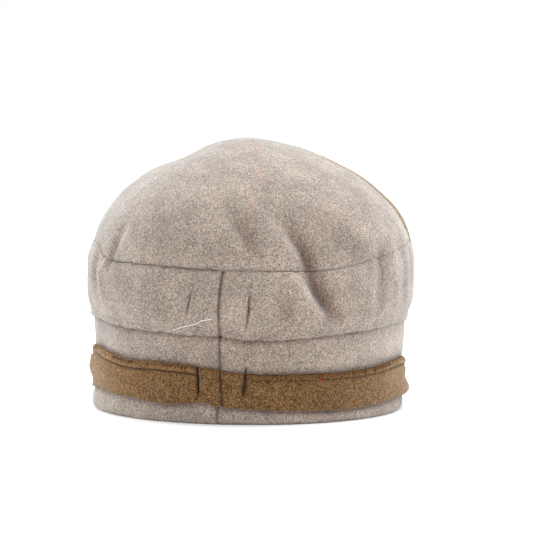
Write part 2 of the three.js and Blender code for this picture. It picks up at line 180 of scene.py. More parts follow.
# Painted shade beside the folds and in patches: how much darker, and its reach to either side.
paintedShadeAndLight = {
    # turn, height, share, left reach, right reach
    "downTheDeepFold": [
        (24.6, 116, 0.00, 5.0, 5.0),
        (28.0, 107, 0.13, 3.8, 4.4),
        (31.2, 98, 0.24, 3.8, 4.2),
        (33.2, 91, 0.22, 3.2, 3.6),
        (33.9, 85, 0.14, 3.4, 4.0),
        (35.2, 78, 0.22, 4.4, 5.8),
        (38.0, 70, 0.24, 4.8, 6.2),
        (41.2, 63, 0.16, 4.8, 6.0),
        (45.0, 55, 0.00, 4.0, 5.0),
    ],
    # painted shade down the faint fold in the crown
    "shadeDownTheFaintFold": [
        (7.5, 128, 0.00, 6.0, 6.0),
        (9.5, 120, 0.10, 6.0, 6.0),
        (11.5, 108, 0.11, 5.0, 5.0),
        (13.8, 96, 0.03, 5.0, 4.0),
        (15.0, 89, 0.00, 4.0, 4.0),
    ],
    "besideTheCrest": [
        (21.0, 84, 0.00, 6.0, 4.0),
        (22.6, 75, 0.15, 7.5, 4.5),
        (24.6, 66, 0.20, 7.5, 5.0),
        (27.6, 57, 0.04, 6.0, 5.0),
    ],
    "leftOfTheCentre": [(-14, 122, 0.0, 9.0, 9.0), (-9, 108, 0.04, 9.0, 9.0), (-10, 92, -0.12, 10.0, 9.0)],
    "leftInTheBand": [(-26, 79, 0.0, 8.0, 8.0), (-22, 68, 0.10, 9.0, 9.0), (-14, 59, 0.02, 9.0, 9.0)],
    "middleOfTheLowerBand": [
        (-6, 46, 0.09, 14.0, 12.0),
        (12, 44, 0.18, 14.0, 14.0),
        (30, 45, 0.05, 14.0, 12.0),
    ],
    "rightOnTheStrip": [(12, 20, 0.03, 14.0, 14.0), (34, 22, 0.06, 14.0, 14.0), (56, 24, 0.03, 14.0, 14.0)],
    "rightInTheBand": [(51.2, 83, 0.05, 4.5, 4.5), (50.0, 71, 0.08, 5.0, 5.0)],
    "downTheRipple": [(63.4, 92, 0.04, 4.5, 4.5), (62.8, 80, 0.12, 5.0, 5.0), (61.5, 64, 0.05, 5.5, 5.0)],
    "rightInTheCrown": [(40, 118, 0.15, 14.0, 14.0), (50, 101, 0.13, 11.0, 9.0)],
    "rightOfTheTop": [(40, 146, -0.03, 16.0, 16.0), (62, 126, 0.10, 18.0, 18.0)],
    "overTheTop": [(-16, 156, 0.08, 12.0, 12.0), (14, 157, 0.08, 12.0, 12.0)],
    # and painted light, where a negative share paints it paler
    "litOnTheCrest": [
        (22.0, 106, 0.00, 5.0, 4.0),
        (24.4, 95, 0.02, 5.0, 3.6),
        (25.4, 85.5, -0.12, 4.0, 2.8),
        (28.6, 80, -0.18, 3.4, 2.4),
        (31.6, 73.5, -0.18, 3.4, 2.4),
        (35.2, 66.5, -0.12, 3.6, 2.6),
        (38.8, 59, 0.00, 4.0, 4.0),
    ],
    "litAtTheLeftEdge": [(-66, 86, -0.09, 10.0, 10.0), (-64, 62, -0.10, 10.0, 10.0)],
    "litAtTheRightEdge": [(90, 90, -0.10, 10.0, 10.0), (90, 58, -0.10, 10.0, 10.0)],
    "litAboveTheStrip": [
        (20, 33.5, 0.0, 3.0, 3.0),
        (45, 35.0, -0.12, 4.0, 4.0),
        (75, 40.0, -0.16, 4.0, 4.0),
        (98, 43.0, -0.08, 4.0, 4.0),
    ],
    "litOnTheRight": [(72.6, 94, -0.06, 4.0, 5.0), (73.0, 68, -0.09, 4.0, 6.0)],
    "litLowOnTheLeft": [
        (-120, 26, -0.06, 24.0, 24.0),
        (-72, 24, -0.26, 24.0, 24.0),
        (-43, 20, -0.38, 22.0, 22.0),
        (-14, 20, 0.0, 20.0, 20.0),
    ],
    "litLeftInTheCrown": [(-62, 118, -0.01, 18.0, 18.0), (-34, 100, -0.07, 14.0, 14.0)],
    "litLowOnTheRight": [(60, 42, -0.11, 9.0, 9.0), (84, 44, -0.14, 9.0, 9.0)],
}

# Narrow creases that run down a ring: slits, short tucks and the centre back seam.
bandCreases = {
    # width, and a path of turn, height and depth
    "tuckLeft": (0.55, [(-7.5, 77.5, 0.2), (-8.3, 72, 1.5), (-8.8, 68, 1.4), (-9.3, 63.5, 0.3)]),
    "tuckRight": (
        0.65, [(12.2, 81, 0.2), (11.9, 73, 1.2), (11.8, 66, 1.7), (11.3, 60, 1.1), (10.6, 54, 0.1)]
    ),
    "centreSeam": (
        0.9,
        [(2.8, 89, 1.8), (2.4, 81, 1.0), (2.1, 76, 1.5), (1.7, 67, 1.3), (1.8, 58, 0.9), (2.3, 51, 1.2)],
    ),
}
lowerCreases = {
    "centreSeam": (
        0.9,
        [(2.2, 54, 1.4), (1.6, 46, 0.6), (2.0, 36, 1.0), (2.2, 20, 0.6), (1.6, 9, 0.6), (1.6, 0, 0.9)],
    ),
    "aboveTheRightSlit": (0.8, [(11.5, 34.6, 0.0), (11.3, 32.6, 1.6), (11.2, 28, 1.8)]),
}
stripCreases = {
    "slitLeft": (1.0, [(-5.8, 38, 2.3), (-5.3, 28, 2.3), (-5.0, 20, 2.2), (-5.0, 15.0, 0.0)]),
    "slitRight": (1.15, [(11.4, 38, 2.3), (11.2, 27, 2.3), (10.8, 20, 2.1), (10.4, 16.0, 0.0)]),
    "centreSeam": (0.6, [(2.4, 34, 1.3), (3.0, 21, 0.9), (3.4, 10, 1.2)]),
    "stepInTheHem": (0.6, [(3.0, 33.5, 1.5), (6.0, 31.8, 1.3), (7.5, 30.9, 0.0)]),
}

# How clearly the crown's seam to the band shows: the pile covers it right of the centre.
seamShows = table("turn share", [
    (-180, 0.5), (-90, 0.3), (-62, 0.2), (-54, 0.4), (-47, 0.8), (-30, 0.9), (-14, 1.0), (-1, 0.85),
    (5, 0.22), (14, 0.12), (24, 0.04), (30, 0.06), (35, 0.4), (42, 0.2), (60, 0.22), (80, 0.26),
    (95, 0.25), (180, 0.5),
])
# How clearly the band's lower edge shows: towards the sides it runs out into the lower band.
tuckShows = table("turn share", [
    (-180, 0.6), (-110, 0.5), (-92, 0.25), (-72, 0.55), (-52, 0.9), (-30, 1.0), (52, 1.0), (62, 0.6),
    (70, 0.15), (100, 0.1), (125, 0.5), (180, 0.6),
])

partlyShown = {"seam": seamShows, "tuck": tuckShows}
downTheHem = {"groove": 1.0, "lip": 0.5}    # edges by the share of the hem's height above them

# Painted shade along an edge: the edge, how much, and how far it reaches.
closedPile = {
    "sideBand": [("seam", 0.17, 1.2), ("tuck", 0.14, 0.8)],
    # along the floor it is a painted contact shadow under the roll
    "lowerBand": [
        ("tuck", 0.38, 2.2), ("stripHigh", 0.12, 2.0), ("stripLow", 0.34, 2.4), ("floor", 0.70, 0.8),
    ],
    "contrastStrip": [
        # the lip's negative share is a painted highlight
        ("stripHigh", 0.16, 0.9), ("lip", -0.16, 1.8), ("groove", 0.50, 0.6), ("stripLow", 0.20, 0.7),
    ],
}
# How shade is painted into folds and creases, and how dark and how pale the painted tone may get.
shadePainting = {
    "perFoldDepth": 0.052,      # how much painted shade a millimetre of fold gives
    # painted shade for each millimetre of a narrow crease's depth
    "perCreaseDepth": 0.36,
    "narrowFold": 6.0,          # folds wider than this get less painted shade
    "darkest": 0.12,
    "palest": 1.35,
}


# A smooth curve through a table's rows. Where period is given the table closes on itself.
def smoothThrough(places, values, at, period=None):
    if period:
        at = (at - places[0]) % period + places[0]
        places = np.concatenate([places[-2:] - period, places, places[:3] + period])
        values = np.concatenate([values[-2:], values, values[:3]])
    else:
        at = np.clip(at, places[0], places[-1])
        ends = (2 * places[0] - places[1], 2 * places[-1] - places[-2])
        places = np.concatenate([[ends[0]], places, [ends[1]]])
        values = np.concatenate([[values[0]], values, [values[-1]]])
    here = np.clip(np.searchsorted(places, at, side="right") - 1, 1, len(places) - 3)
    span = places[here + 1] - places[here]
    share = (at - places[here]) / span
    leaving = (values[here + 1] - values[here - 1]) / (places[here + 1] - places[here - 1]) * span
    arriving = (values[here + 2] - values[here]) / (places[here + 2] - places[here]) * span
    square, cube = share**2, share**3
    return (
        (2 * cube - 3 * square + 1) * values[here]
        + (cube - 2 * square + share) * leaving
        + (3 * square - 2 * cube) * values[here + 1]
        + (cube - square) * arriving
    )


# Cutting and sewing leave edges a little wavy; crown seams curl in and get painted shade unevenly.
waver = {
    "heights": {"seam": 0.24, "tuck": 0.28, "stripHigh": 0.12, "stripLow": 0.18},   # in mm
    # how unevenly the crown's seams turn in and get painted shade
    "closed": 0.28,
    "rounds": (31, 53, 79, 113),    # whole numbers, so that each edge meets itself
    "seed": 7,
}


# A wave of about -1 to 1 round the hat, its own one for each edge.
def waveAt(edge, turn):
    rounds = waver["rounds"]
    starts = np.random.default_rng([waver["seed"], len(edge), ord(edge[0])]).uniform(0, 360, len(rounds))
    waves = [np.sin(np.radians(turn * times + start)) for times, start in zip(rounds, starts)]
    return sum(waves) / math.sqrt(len(rounds))


def edgeAt(name, turn):
    height = smoothThrough(edges["turn"], edges[name], turn, period=360)
    return height + waver["heights"].get(name, 0) * waveAt(name, turn)


def swayAt(height):
    heights, sideways = sway["height"], sway["sideways"]
    level = np.clip(height, heights[0], heights[-1])
    above = np.clip(np.searchsorted(heights, level, side="right"), 1, len(heights) - 1)
    share = (level - heights[above - 1]) / (heights[above] - heights[above - 1])
    share = share * share * (3 - 2 * share)
    return sideways[above - 1] * (1 - share) + sideways[above] * share


def onRing(turn, halfWidth, height):
    angle = np.radians(turn)
    x = halfWidth * np.sin(angle)
    y = -halfWidth * hat["depthRatio"] * np.cos(angle)
    return np.stack(np.broadcast_arrays(x, y, height), axis=-1).astype(float)


def unit(vectors):
    return vectors / np.linalg.norm(vectors, axis=-1, keepdims=True)


def turnOf(points):
    return np.degrees(np.arctan2(points[..., 0], -points[..., 1] / hat["depthRatio"]))


# Half width of the dome, at a share of its rise.
def domeHalfWidthAt(rise):
    return hat["domeHalfWidth"] * (1 - rise ** hat["domeRisePower"]) ** (1 / hat["domeWidthPower"])


# Half width of the outside of the crown or the side band at a height.
def outsideHalfWidth(height):
    return domeHalfWidthAt(np.clip((height - hat["domeFoot"]) / hat["domeRise"], 0, 1))


# What a table of paths adds up to at points of the outside surface, and how much of that comes
# from the narrow ones, which is painted as shade.
def pressAt(points, paths):
    total, closed = np.zeros(points.shape[:-1]), np.zeros(points.shape[:-1])
    turns = turnOf(points)
    for rows in paths.values():
        rows = np.array(rows, float)
        stops = onRing(rows[:, 0], outsideHalfWidth(rows[:, 1]), rows[:, 1])
        nearest = np.full(total.shape, np.inf)
        press, narrow = np.zeros(total.shape), np.zeros(total.shape)
        for i in range(len(rows) - 1):
            along = stops[i + 1] - stops[i]
            share = np.clip(((points - stops[i]) @ along) / (along @ along), 0, 1)
            gap = np.linalg.norm(points - stops[i] - share[..., None] * along, axis=-1)
            between = rows[i] + (rows[i + 1] - rows[i]) * share[..., None]
            sideways = (turns - between[..., 0] + 180) % 360 - 180
            reach = np.where(sideways < 0, between[..., 3], between[..., 4])
            here = between[..., 2] * np.exp(-((gap / reach) ** 2))
            press = np.where(gap < nearest, here, press)
            narrow = np.where(gap < nearest, np.minimum(1, (shadePainting["narrowFold"] / reach) ** 2), narrow)
            nearest = np.minimum(gap, nearest)
        total += press
        closed += press * narrow
    return total, closed


# Heights of points once the hat's weight has pressed the roll that it stands on.
def sunkHeight(points):
    height = points[..., 2]
    above = np.clip(height / hat["rollHeight"], 0, 1)
    return height + above * (hat["lean"] * points[..., 0] - hat["sink"])


# Moves points of a wall by the folds, measured on the outside surface, and by the sway. Also gives
# the tone painted there: shade for narrow folds, and the painted shade and light of the paths.
def settled(points, outside):
    inwards = unit(np.array(hat["core"]) - outside)
    press, narrow = pressAt(outside, folds)
    closed = narrow * shadePainting["perFoldDepth"] + pressAt(outside, paintedShadeAndLight)[0]
    moved = points + inwards * press[..., None]
    moved[..., 0] += swayAt(points[..., 2])
    moved[..., 2] = sunkHeight(moved)
    return moved, closed


# How deep the narrow creases cut at a turn and height of a ring.
def creaseAt(creases, turn, height):
    total = np.zeros(np.broadcast(turn, height).shape)
    for width, path in creases.values():
        path = np.array(path, float)
        path = path[np.argsort(path[:, 1])]
        level = np.clip(height, path[0, 1], path[-1, 1])
        middle = np.interp(level, path[:, 1], path[:, 0])
        depth = np.interp(level, path[:, 1], path[:, 2])
        aside = (turn - middle) * math.pi / 180 * hat["bandHalfWidth"]
        beyond = height - level
        total = np.maximum(total, depth * np.exp(-(aside**2 + beyond**2) / width**2))
    return total


def shareAt(shows, turn):
    return np.interp(turn, shows["turn"], shows["share"])


# The height of an edge at each turn, and how clearly it shows there.
def shownEdge(edge, turn):
    if edge == "floor":
        return np.zeros(turn.shape), np.ones(turn.shape)
    if edge in downTheHem:
        hemHeight, shows = hemAt(turn)
        return edgeAt("stripHigh", turn) - hemHeight * downTheHem[edge], shows
    if edge in partlyShown:
        return edgeAt(edge, turn), shareAt(partlyShown[edge], turn)
    return edgeAt(edge, turn), np.ones(turn.shape)


# The painted tone of a ring: 1 where none is painted, less for painted shade, more for painted light.
def toneAt(name, turn, height, creased, closed):
    paintedTone = 1 - closed - shadePainting["perCreaseDepth"] * creased
    for edge, share, reach in closedPile[name]:
        level, shows = shownEdge(edge, turn)
        paintedTone = paintedTone - share * shows * np.exp(-(((height - level) / reach) ** 2))
    return np.clip(paintedTone, shadePainting["darkest"], shadePainting["palest"])


def hexToLinear(code):
    channels = [int(code[i : i + 2], 16) / 255 for i in (1, 3, 5)]
    return tuple(c / 12.92 if c <= 0.04045 else ((c + 0.055) / 1.055) ** 2.4 for c in channels) + (1.0,)


# kinds of node that come back often
maths, vectorMaths, noises = "ShaderNodeMath", "ShaderNodeVectorMath", "ShaderNodeTexNoise"


# Adds a node with its settings, and for each socket a value or another node's output. Gives the
# output that is asked for, or else the first.
def addNode(tree, kind, sockets=None, out=0, **settings):
    node = tree.nodes.new(kind)
    for name, value in settings.items():
        setattr(node, name, value)
    for socket, value in (sockets or {}).items():
        if isinstance(value, bpy.types.NodeSocket):
            tree.links.new(value, node.inputs[socket])
        else:
            node.inputs[socket].default_value = value
    return node.outputs[out] if len(node.outputs) else None


def newMaterial(name, values):
    material = bpy.data.materials.new(name)
    material.use_nodes = True
    shader = material.node_tree.nodes["Principled BSDF"]
    for socket, value in values.items():
        shader.inputs[socket].default_value = value
    return material, material.node_tree, shader


def newObject(name, data):
    made = bpy.data.objects.new(name, data)
    bpy.context.scene.collection.objects.link(made)
    return made


camera = {
    "place": (301.88, -1460.26, 179.50),
    "aim": (16.36, 8.60, 74.86),
    "roll": 0.5,                # degrees
    "lens": 160.7,
    "sensor": 36.0,
    "seesTo": 100.0,            # metres
}


def makeCamera():
    data = bpy.data.cameras.new("camera")
    data.lens = camera["lens"]
    data.sensor_width = camera["sensor"]
    data.clip_end = camera["seesTo"]
    made = newObject("camera", data)
    place, aim = Vector(camera["place"]), Vector(camera["aim"])
    made.location = place * millimetre
    level = (aim - place).to_track_quat("-Z", "Y")
    made.rotation_euler = (level @ Quaternion((0, 0, 1), math.radians(camera["roll"]))).to_euler()
    bpy.context.scene.camera = made


studio = {
    "world": 1.0,
    "floorRadius": 14.0,        # metres
    "floorCorners": 64,
    "floorPaint": {
        "Base Color": (0.8, 0.8, 0.8, 1.0),
        "Emission Color": (1.0, 1.0, 1.0, 1.0),
        "Emission Strength": 0.24,
        "Roughness": 0.9,
        "Specular IOR Level": 0.0,
    },
    "lightsAim": (0.0, 0.0, 0.08),
    "lights": {
        # place, size, power
        "topSoftbox": ((0.2, 0.35, 1.6), 1.2, 29.0),
        "leftSoftbox": ((-1.4, 0.9, 0.7), 1.1, 21.0),
        "rightSoftbox": ((1.4, 1.0, 0.7), 1.1, 14.0),
    },
}


def makeStudio():
    scene = bpy.context.scene
    scene.view_settings.view_transform = "Standard"
    world = bpy.data.worlds.new("paleStudio")
    world.use_nodes = True
    sky = world.node_tree.nodes["Background"]
    sky.inputs["Color"].default_value = (1.0, 1.0, 1.0, 1.0)
    sky.inputs["Strength"].default_value = studio["world"]
    scene.world = world

    corners = studio["floorCorners"]
    angles = [2 * math.pi * i / corners for i in range(corners)]
    ring = [(studio["floorRadius"] * math.cos(a), studio["floorRadius"] * math.sin(a), 0.0) for a in angles]
    mesh = bpy.data.meshes.new("floor")
    mesh.from_pydata(ring, [], [list(range(corners))])
    mesh.materials.append(newMaterial("paleFloor", studio["floorPaint"])[0])
    newObject("floor", mesh)

    aim = Vector(studio["lightsAim"])
    for name, (place, size, power) in studio["lights"].items():
        data = bpy.data.lights.new(name, "AREA")
        data.shape = "DISK"
        data.size = size
        data.energy = power
        light = newObject(name, data)
        light.location = place
        light.rotation_euler = (aim - Vector(place)).to_track_quat("-Z", "Y").to_euler()


makeCamera()
makeStudio()
print("camera, floor and light are set")


# Polyester fleece, knitted, then brushed and sheared on both sides.
# The short pile scatters light in every direction, so it has no highlight but goes pale where it
# is seen edge on, and fibres of several colours are carded together into a melange.

greigeFleece = {
    "name": "brushedFleeceGreige",
    "mid": "#8f8277",           # the carded fibres: most of them, the darkest and the palest
    "dark": "#655950",
    "pale": "#b7aba0",
    "warm": "#a68d7c",
    "cool": "#8b8580",
    "sheen": 0.3,
    "sheenRoughness": 0.5,
    "sheenTint": "#e2f6ff",
    "closed": "#ffeae2",        # the tint that painted shade is multiplied by
    "gathers": 0.08,            # how much the fibres of one colour gather in spots
    "cloudy": 0.15,             # how much whole patches differ
}
tanFleece = {
    "name": "brushedFleeceTan",
    "mid": "#60472b",
    "dark": "#301c0a",
    "pale": "#94724c",
    "warm": "#6d4c2c",
    "cool": "#5c4930",
    "sheen": 0.28,
    "sheenRoughness": 0.5,
    "sheenTint": "#fff6e2",
    # the tint that painted shade is multiplied by
    "closed": "#ffe2cc",
    "gathers": 0.10,
    "cloudy": 0.08,
}
pile = {
    "grain": 0.74,              # width of a tuft of one colour, in mm
    "fleck": 1.9,               # wider spots where one colour gathers
    "hue": 1.4,                 # spots of warmer and cooler fibres
    "cloud": 14.0,              # patches where the pile leans another way
    "drift": 38.0,
    "fibres": (0.385, 0.5, 0.61),   # noise that gives a dark, a mid and a pale fibre
    "warmNoise": (0.52, 0.68),      # noise where the hue starts to change, and where it stops
    "coolNoise": (0.48, 0.32),
    "hueShare": 0.4,
    "cloudNoise": (0.3, 0.7),
    "drifts": 0.07,             # how much the drift changes the light
    "warmTone": (0.95, 0.4),    # painted tone where painted shade starts to turn warmer, and where it stops
    "bump": 0.6,
    "bumpDepth": 0.3,           # in mm
}
# a line of tailor's chalk up the back of the crown, almost brushed off
chalkLine = {
    "colour": "#c07c72",
    "across": (1.0, 0.231, -0.12),
    "offset": -15.1,
    "halfWidths": (0.2, 0.75),  # of the full line and of its faint edge, in mm
    "strength": (0.36, 0.0),    # in the line and beyond its edge
    "ends": (92.0, 125.0),      # heights between which it fades out
    "endsLeft": (0.25, 1.0),    # how much of it is left at them
    "wornNoise": (0.4, 0.6),    # noise where the pile has lost most of it, and none of it
    "wornLeft": (0.2, 1.0),
}


def makeFleece(look, chalk=None):
    material, tree, shader = newMaterial(look["name"], {
        "Roughness": 1.0,
        "Specular IOR Level": 0.1,
        "Sheen Weight": look["sheen"],
        "Sheen Roughness": look["sheenRoughness"],
        "Sheen Tint": hexToLinear(look["sheenTint"]),
    })
    where = addNode(tree, "ShaderNodeTexCoord", out="Object")

    # noise with spots of a width in mm
    def speckle(size, detail=1.0, roughness=0.5, shift=0.0):
        place = addNode(tree, "ShaderNodeMapping", {"Vector": where, "Location": (shift, shift, shift)})
        return addNode(tree, noises, {
            "Vector": place, "Scale": 1 / (size * millimetre), "Detail": detail, "Roughness": roughness,
        })

    # a value brought from one range to another, times what is given
    def fade(value, start, end, given=None):
        ranged = addNode(tree, "ShaderNodeMapRange", {
            "Value": value, "From Min": start[0], "From Max": start[1], "To Min": end[0], "To Max": end[1],
        })
        if given is None:
            return ranged
        return addNode(tree, maths, {0: given, 1: ranged}, operation="MULTIPLY")

    # grain and fleck together choose the fibre
    gathers = fade(speckle(pile["fleck"]), (0.0, 1.0), (-look["gathers"], look["gathers"]))
    fibre = addNode(tree, maths, {0: speckle(pile["grain"], detail=3.0, roughness=0.75), 1: gathers})
    colour = addNode(tree, "ShaderNodeValToRGB", {"Fac": fibre}, "Color")
    stops = colour.node.color_ramp.elements
    dark, mid, pale = pile["fibres"]
    stops[0].position, stops[0].color = dark, hexToLinear(look["dark"])
    stops[1].position, stops[1].color = pale, hexToLinear(look["pale"])
    stops.new(mid).color = hexToLinear(look["mid"])
    hue = speckle(pile["hue"], shift=0.3)
    tints = [
        (fade(hue, pile["warmNoise"], (0.0, pile["hueShare"])), look["warm"]),
        (fade(hue, pile["coolNoise"], (0.0, pile["hueShare"])), look["cool"]),
    ]
    if chalk:
        sockets = {0: where, 1: chalk["across"]}
        aside = addNode(tree, vectorMaths, sockets, "Value", operation="DOT_PRODUCT")
        sockets = {0: aside, 1: chalk["offset"] * millimetre}
        offset = addNode(tree, maths, sockets, operation="SUBTRACT")
        gap = addNode(tree, maths, {0: offset}, operation="ABSOLUTE")
        height = addNode(tree, "ShaderNodeSeparateXYZ", {"Vector": where}, "Z")
        left = fade(gap, [width * millimetre for width in chalk["halfWidths"]], chalk["strength"])
        worn = speckle(pile["fleck"], detail=2.0, roughness=0.6, shift=0.7)
        left = fade(worn, chalk["wornNoise"], chalk["wornLeft"], left)
        left = fade(height, [end * millimetre for end in chalk["ends"]], chalk["endsLeft"], left)
        tints.append((left, chalk["colour"]))
    for share, tint in tints:
        sockets = {"Factor": share, 6: colour, 7: hexToLinear(tint)}
        colour = addNode(tree, "ShaderNodeMix", sockets, 2, data_type="RGBA")

    # clouds lift or sink whole patches at random; the painted tone paints shade and light in
    light = None
    for size, detail, change in (("cloud", 3.0, look["cloudy"]), ("drift", 2.0, pile["drifts"])):
        light = fade(speckle(pile[size], detail), pile["cloudNoise"], (1 - change, 1 + change), light)
    paintedTone = addNode(tree, "ShaderNodeAttribute", out="Fac", attribute_name="paintedTone")
    light = addNode(tree, maths, {0: light, 1: paintedTone}, operation="MULTIPLY")
    warms = fade(paintedTone, pile["warmTone"], (0.0, 1.0))
    sockets = {"Factor": warms, 6: colour, 7: hexToLinear(look["closed"])}
    warmed = addNode(tree, "ShaderNodeMix", sockets, 2, data_type="RGBA", blend_type="MULTIPLY")
    shaded = addNode(tree, vectorMaths, {0: warmed, "Scale": light}, operation="SCALE")
    tree.links.new(shaded, shader.inputs["Base Color"])
    bump = addNode(tree, "ShaderNodeBump", {
        "Height": fibre, "Strength": pile["bump"], "Distance": pile["bumpDepth"] * millimetre,
    })
    tree.links.new(bump, shader.inputs["Normal"])
    return material


greige = makeFleece(greigeFleece)
chalkedGreige = makeFleece(dict(greigeFleece, name="brushedFleeceGreigeChalked"), chalkLine)
tan = makeFleece(tanFleece)
print("fleece materials are made")


nap = {
    "Wave Size": 30.0, "Wave Height": 0.45,     # soft unevenness of the cloth, in mm
    "Clump Size": 6.5, "Clump Height": 0.2,
    "Pile Size": 2.1, "Pile Height": 0.16,
}


# A new tree with an input for each size and for the material. Gives the outputs that hand them on.
def newTree(name, sizes, material):
    tree = bpy.data.node_groups.new(name, "GeometryNodeTree")
    inputs = [("Geometry", "Geometry")] + [(size, "Float") for size in sizes] + [(material, "Material")]
    for label, kind in inputs:
        tree.interface.new_socket(label, in_out="INPUT", socket_type="NodeSocket" + kind)
    tree.interface.new_socket("Geometry", in_out="OUTPUT", socket_type="NodeSocketGeometry")
    return tree, tree.nodes.new("NodeGroupInput").outputs


# The last nodes of a tree: what it has made becomes real and gets its material.
def endTree(tree, geometry, material):
    real = addNode(tree, "GeometryNodeRealizeInstances", {"Geometry": geometry})
    clad = addNode(tree, "GeometryNodeSetMaterial", {"Geometry": real, "Material": material})
    addNode(tree, "NodeGroupOutput", {"Geometry": clad})


def makeNapTree():
    tree, given = newTree("napRelief", nap, "Fleece")
    lift = None
    for kind in ("Wave", "Clump", "Pile"):
        scale = addNode(tree, maths, {0: 1.0, 1: given[kind + " Size"]}, operation="DIVIDE")
        noise = addNode(tree, noises, {"Scale": scale, "Detail": 1.0})
        centred = addNode(tree, maths, {0: noise, 1: 0.5}, operation="SUBTRACT")
        sockets = {0: centred, 1: given[kind + " Height"]}
        high = addNode(tree, maths, sockets, operation="MULTIPLY")
        lift = high if lift is None else addNode(tree, maths, {0: lift, 1: high})
    # the noise reaches half a unit to either side
    doubled = addNode(tree, maths, {0: lift, 1: 2.0}, operation="MULTIPLY")
    normal = addNode(tree, "GeometryNodeInputNormal")
    offset = addNode(tree, vectorMaths, {0: normal, "Scale": doubled}, operation="SCALE")
    moved = addNode(tree, "GeometryNodeSetPosition", {"Geometry": given["Geometry"], "Offset": offset})
    endTree(tree, moved, given["Fleece"])
    return tree


# Sets a modifier's inputs by the identifiers of the tree's named sockets.
def setInputs(modifier, values):
    for item in modifier.node_group.interface.items_tree:
        if item.item_type == "SOCKET" and item.in_out == "INPUT" and item.name in values:
            modifier[item.identifier] = values[item.name]


# Runs a tree on an object and leaves the result as the object's plain mesh.
def bakeTree(piece, tree, values):
    modifier = piece.modifiers.new(tree.name, "NODES")
    modifier.node_group = tree
    setInputs(modifier, values)
    bpy.context.view_layer.update()
    evaluated = piece.evaluated_get(bpy.context.evaluated_depsgraph_get())
    made = bpy.data.meshes.new_from_object(evaluated)
    made.name = piece.name
    piece.modifiers.remove(modifier)
    piece.data = made
    return piece


napTree = makeNapTree()


# Columns round a ring: from and to which turn, and the step between them. They lie closest
# together where the creases are.
columnSpans = (
    (-180, -62, 0.62), (-62, -12, 0.5), (-12, 14, 0.2), (14, 50, 0.38), (50, 92, 0.5), (92, 180, 0.62),
)
# How the sides of a piece share the height of its bake map. What shows gets the most of it.
bakeMap = {"outside": (0.0, 0.8), "inside": (0.81, 0.97), "foot": (0.975, 0.985), "top": (0.987, 0.997)}


def columnTurns():
    return np.concatenate([
        np.linspace(low, high, round((high - low) / step), endpoint=False)
        for low, high, step in columnSpans
    ])


# Places on the bake map of the four corners of quads.
def mapCorners(left, right, low, high):
    return np.stack(np.broadcast_arrays(left, low, right, low, right, high, left, high), axis=-1)


# Rounds a closed loop of control points into a smooth section, with a number of steps after each.
def roundedLoop(controls, steps):
    count = controls.shape[1]
    rows = []
    for i in range(count):
        p0, p1, p2, p3 = (controls[:, (i + k - 1) % count] for k in range(4))
        t01, t12, t23 = (
            np.maximum(np.linalg.norm(b - a, axis=-1, keepdims=True), 1e-4) ** 0.5
            for a, b in ((p0, p1), (p1, p2), (p2, p3))
        )
        for share in np.arange(steps[i]) / steps[i]:
            t = t12 * share
            a1 = p0 + (p1 - p0) * (t + t01) / t01
            a2 = p1 + (p2 - p1) * t / t12
            a3 = p2 + (p3 - p2) * (t - t12) / t23
            b1 = a1 + (a2 - a1) * (t + t01) / (t01 + t12)
            b2 = a2 + (a3 - a2) * t / (t12 + t23)
            rows.append(b1 + (b2 - b1) * t / t12)
    return np.stack(rows, axis=1)


# Makes a mesh from vertices in mm, quads, and the place of each quad corner on the bake map.
def makeMesh(name, points, quads, corners, paintedTone, material):
    mesh = bpy.data.meshes.new(name)
    mesh.vertices.add(len(points))
    mesh.vertices.foreach_set("co", (points * millimetre).astype(np.float32).ravel())
    mesh.loops.add(quads.size)
    mesh.loops.foreach_set("vertex_index", quads.astype(np.int32).ravel())
    mesh.polygons.add(len(quads))
    mesh.polygons.foreach_set("loop_start", np.arange(0, quads.size, 4, dtype=np.int32))
    mesh.polygons.foreach_set("loop_total", np.full(len(quads), 4, dtype=np.int32))
    bake = mesh.uv_layers.new(name="OFBake")
    bake.data.foreach_set("uv", corners.astype(np.float32).ravel())
    # the painted shade and light, which the fleece material multiplies its colour by
    shade = mesh.attributes.new("paintedTone", "FLOAT", "POINT")
    shade.data.foreach_set("value", paintedTone.astype(np.float32).ravel())
    mesh.materials.append(material)
    mesh.update(calc_edges=True)
    mesh.validate()
    mesh.shade_smooth()
    return newObject(name, mesh)


# A closed ring. section gives the control points at every turn as (halfWidth, height), and the
# steps after each: those of the side that shows, and then the rest.
def ringPiece(name, section, creases, material):
    turns = columnTurns()
    outer, outerSteps, inner, innerSteps = section(turns)
    controls = [np.stack(np.broadcast_arrays(w, h, turns)[:2], axis=-1) for w, h in outer + inner]
    loop = roundedLoop(np.stack(controls, axis=1), outerSteps + innerSteps)
    shown = sum(outerSteps)
    halfWidth, height = loop[..., 0], loop[..., 1]
    turn = np.broadcast_to(turns[:, None], height.shape)
    creased = creaseAt(creases, turn, height)
    creased[:, shown:] = 0
    halfWidth -= creased
    outside = onRing(turn, outsideHalfWidth(height), height)
    points, closed = settled(onRing(turn, halfWidth, height), outside)
    paintedTone = toneAt(name, turn, height, creased, closed)

    columns, rows = height.shape
    c, r = np.meshgrid(np.arange(columns), np.arange(rows), indexing="ij")
    nextC, nextR = (c + 1) % columns, (r + 1) % rows
    quads = np.stack([c * rows + r, nextC * rows + r, nextC * rows + nextR, c * rows + nextR], axis=-1)
    low, high = bakeMap["outside"]
    edge = np.concatenate([np.linspace(low, high, shown + 1), np.linspace(high, 1, rows - shown + 1)[1:]])
    corners = mapCorners(c / columns, (c + 1) / columns, edge[r], edge[r + 1])
    return makeMesh(
        name, points.reshape(-1, 3), quads.reshape(-1, 4), corners.reshape(-1, 8), paintedTone, material
    )


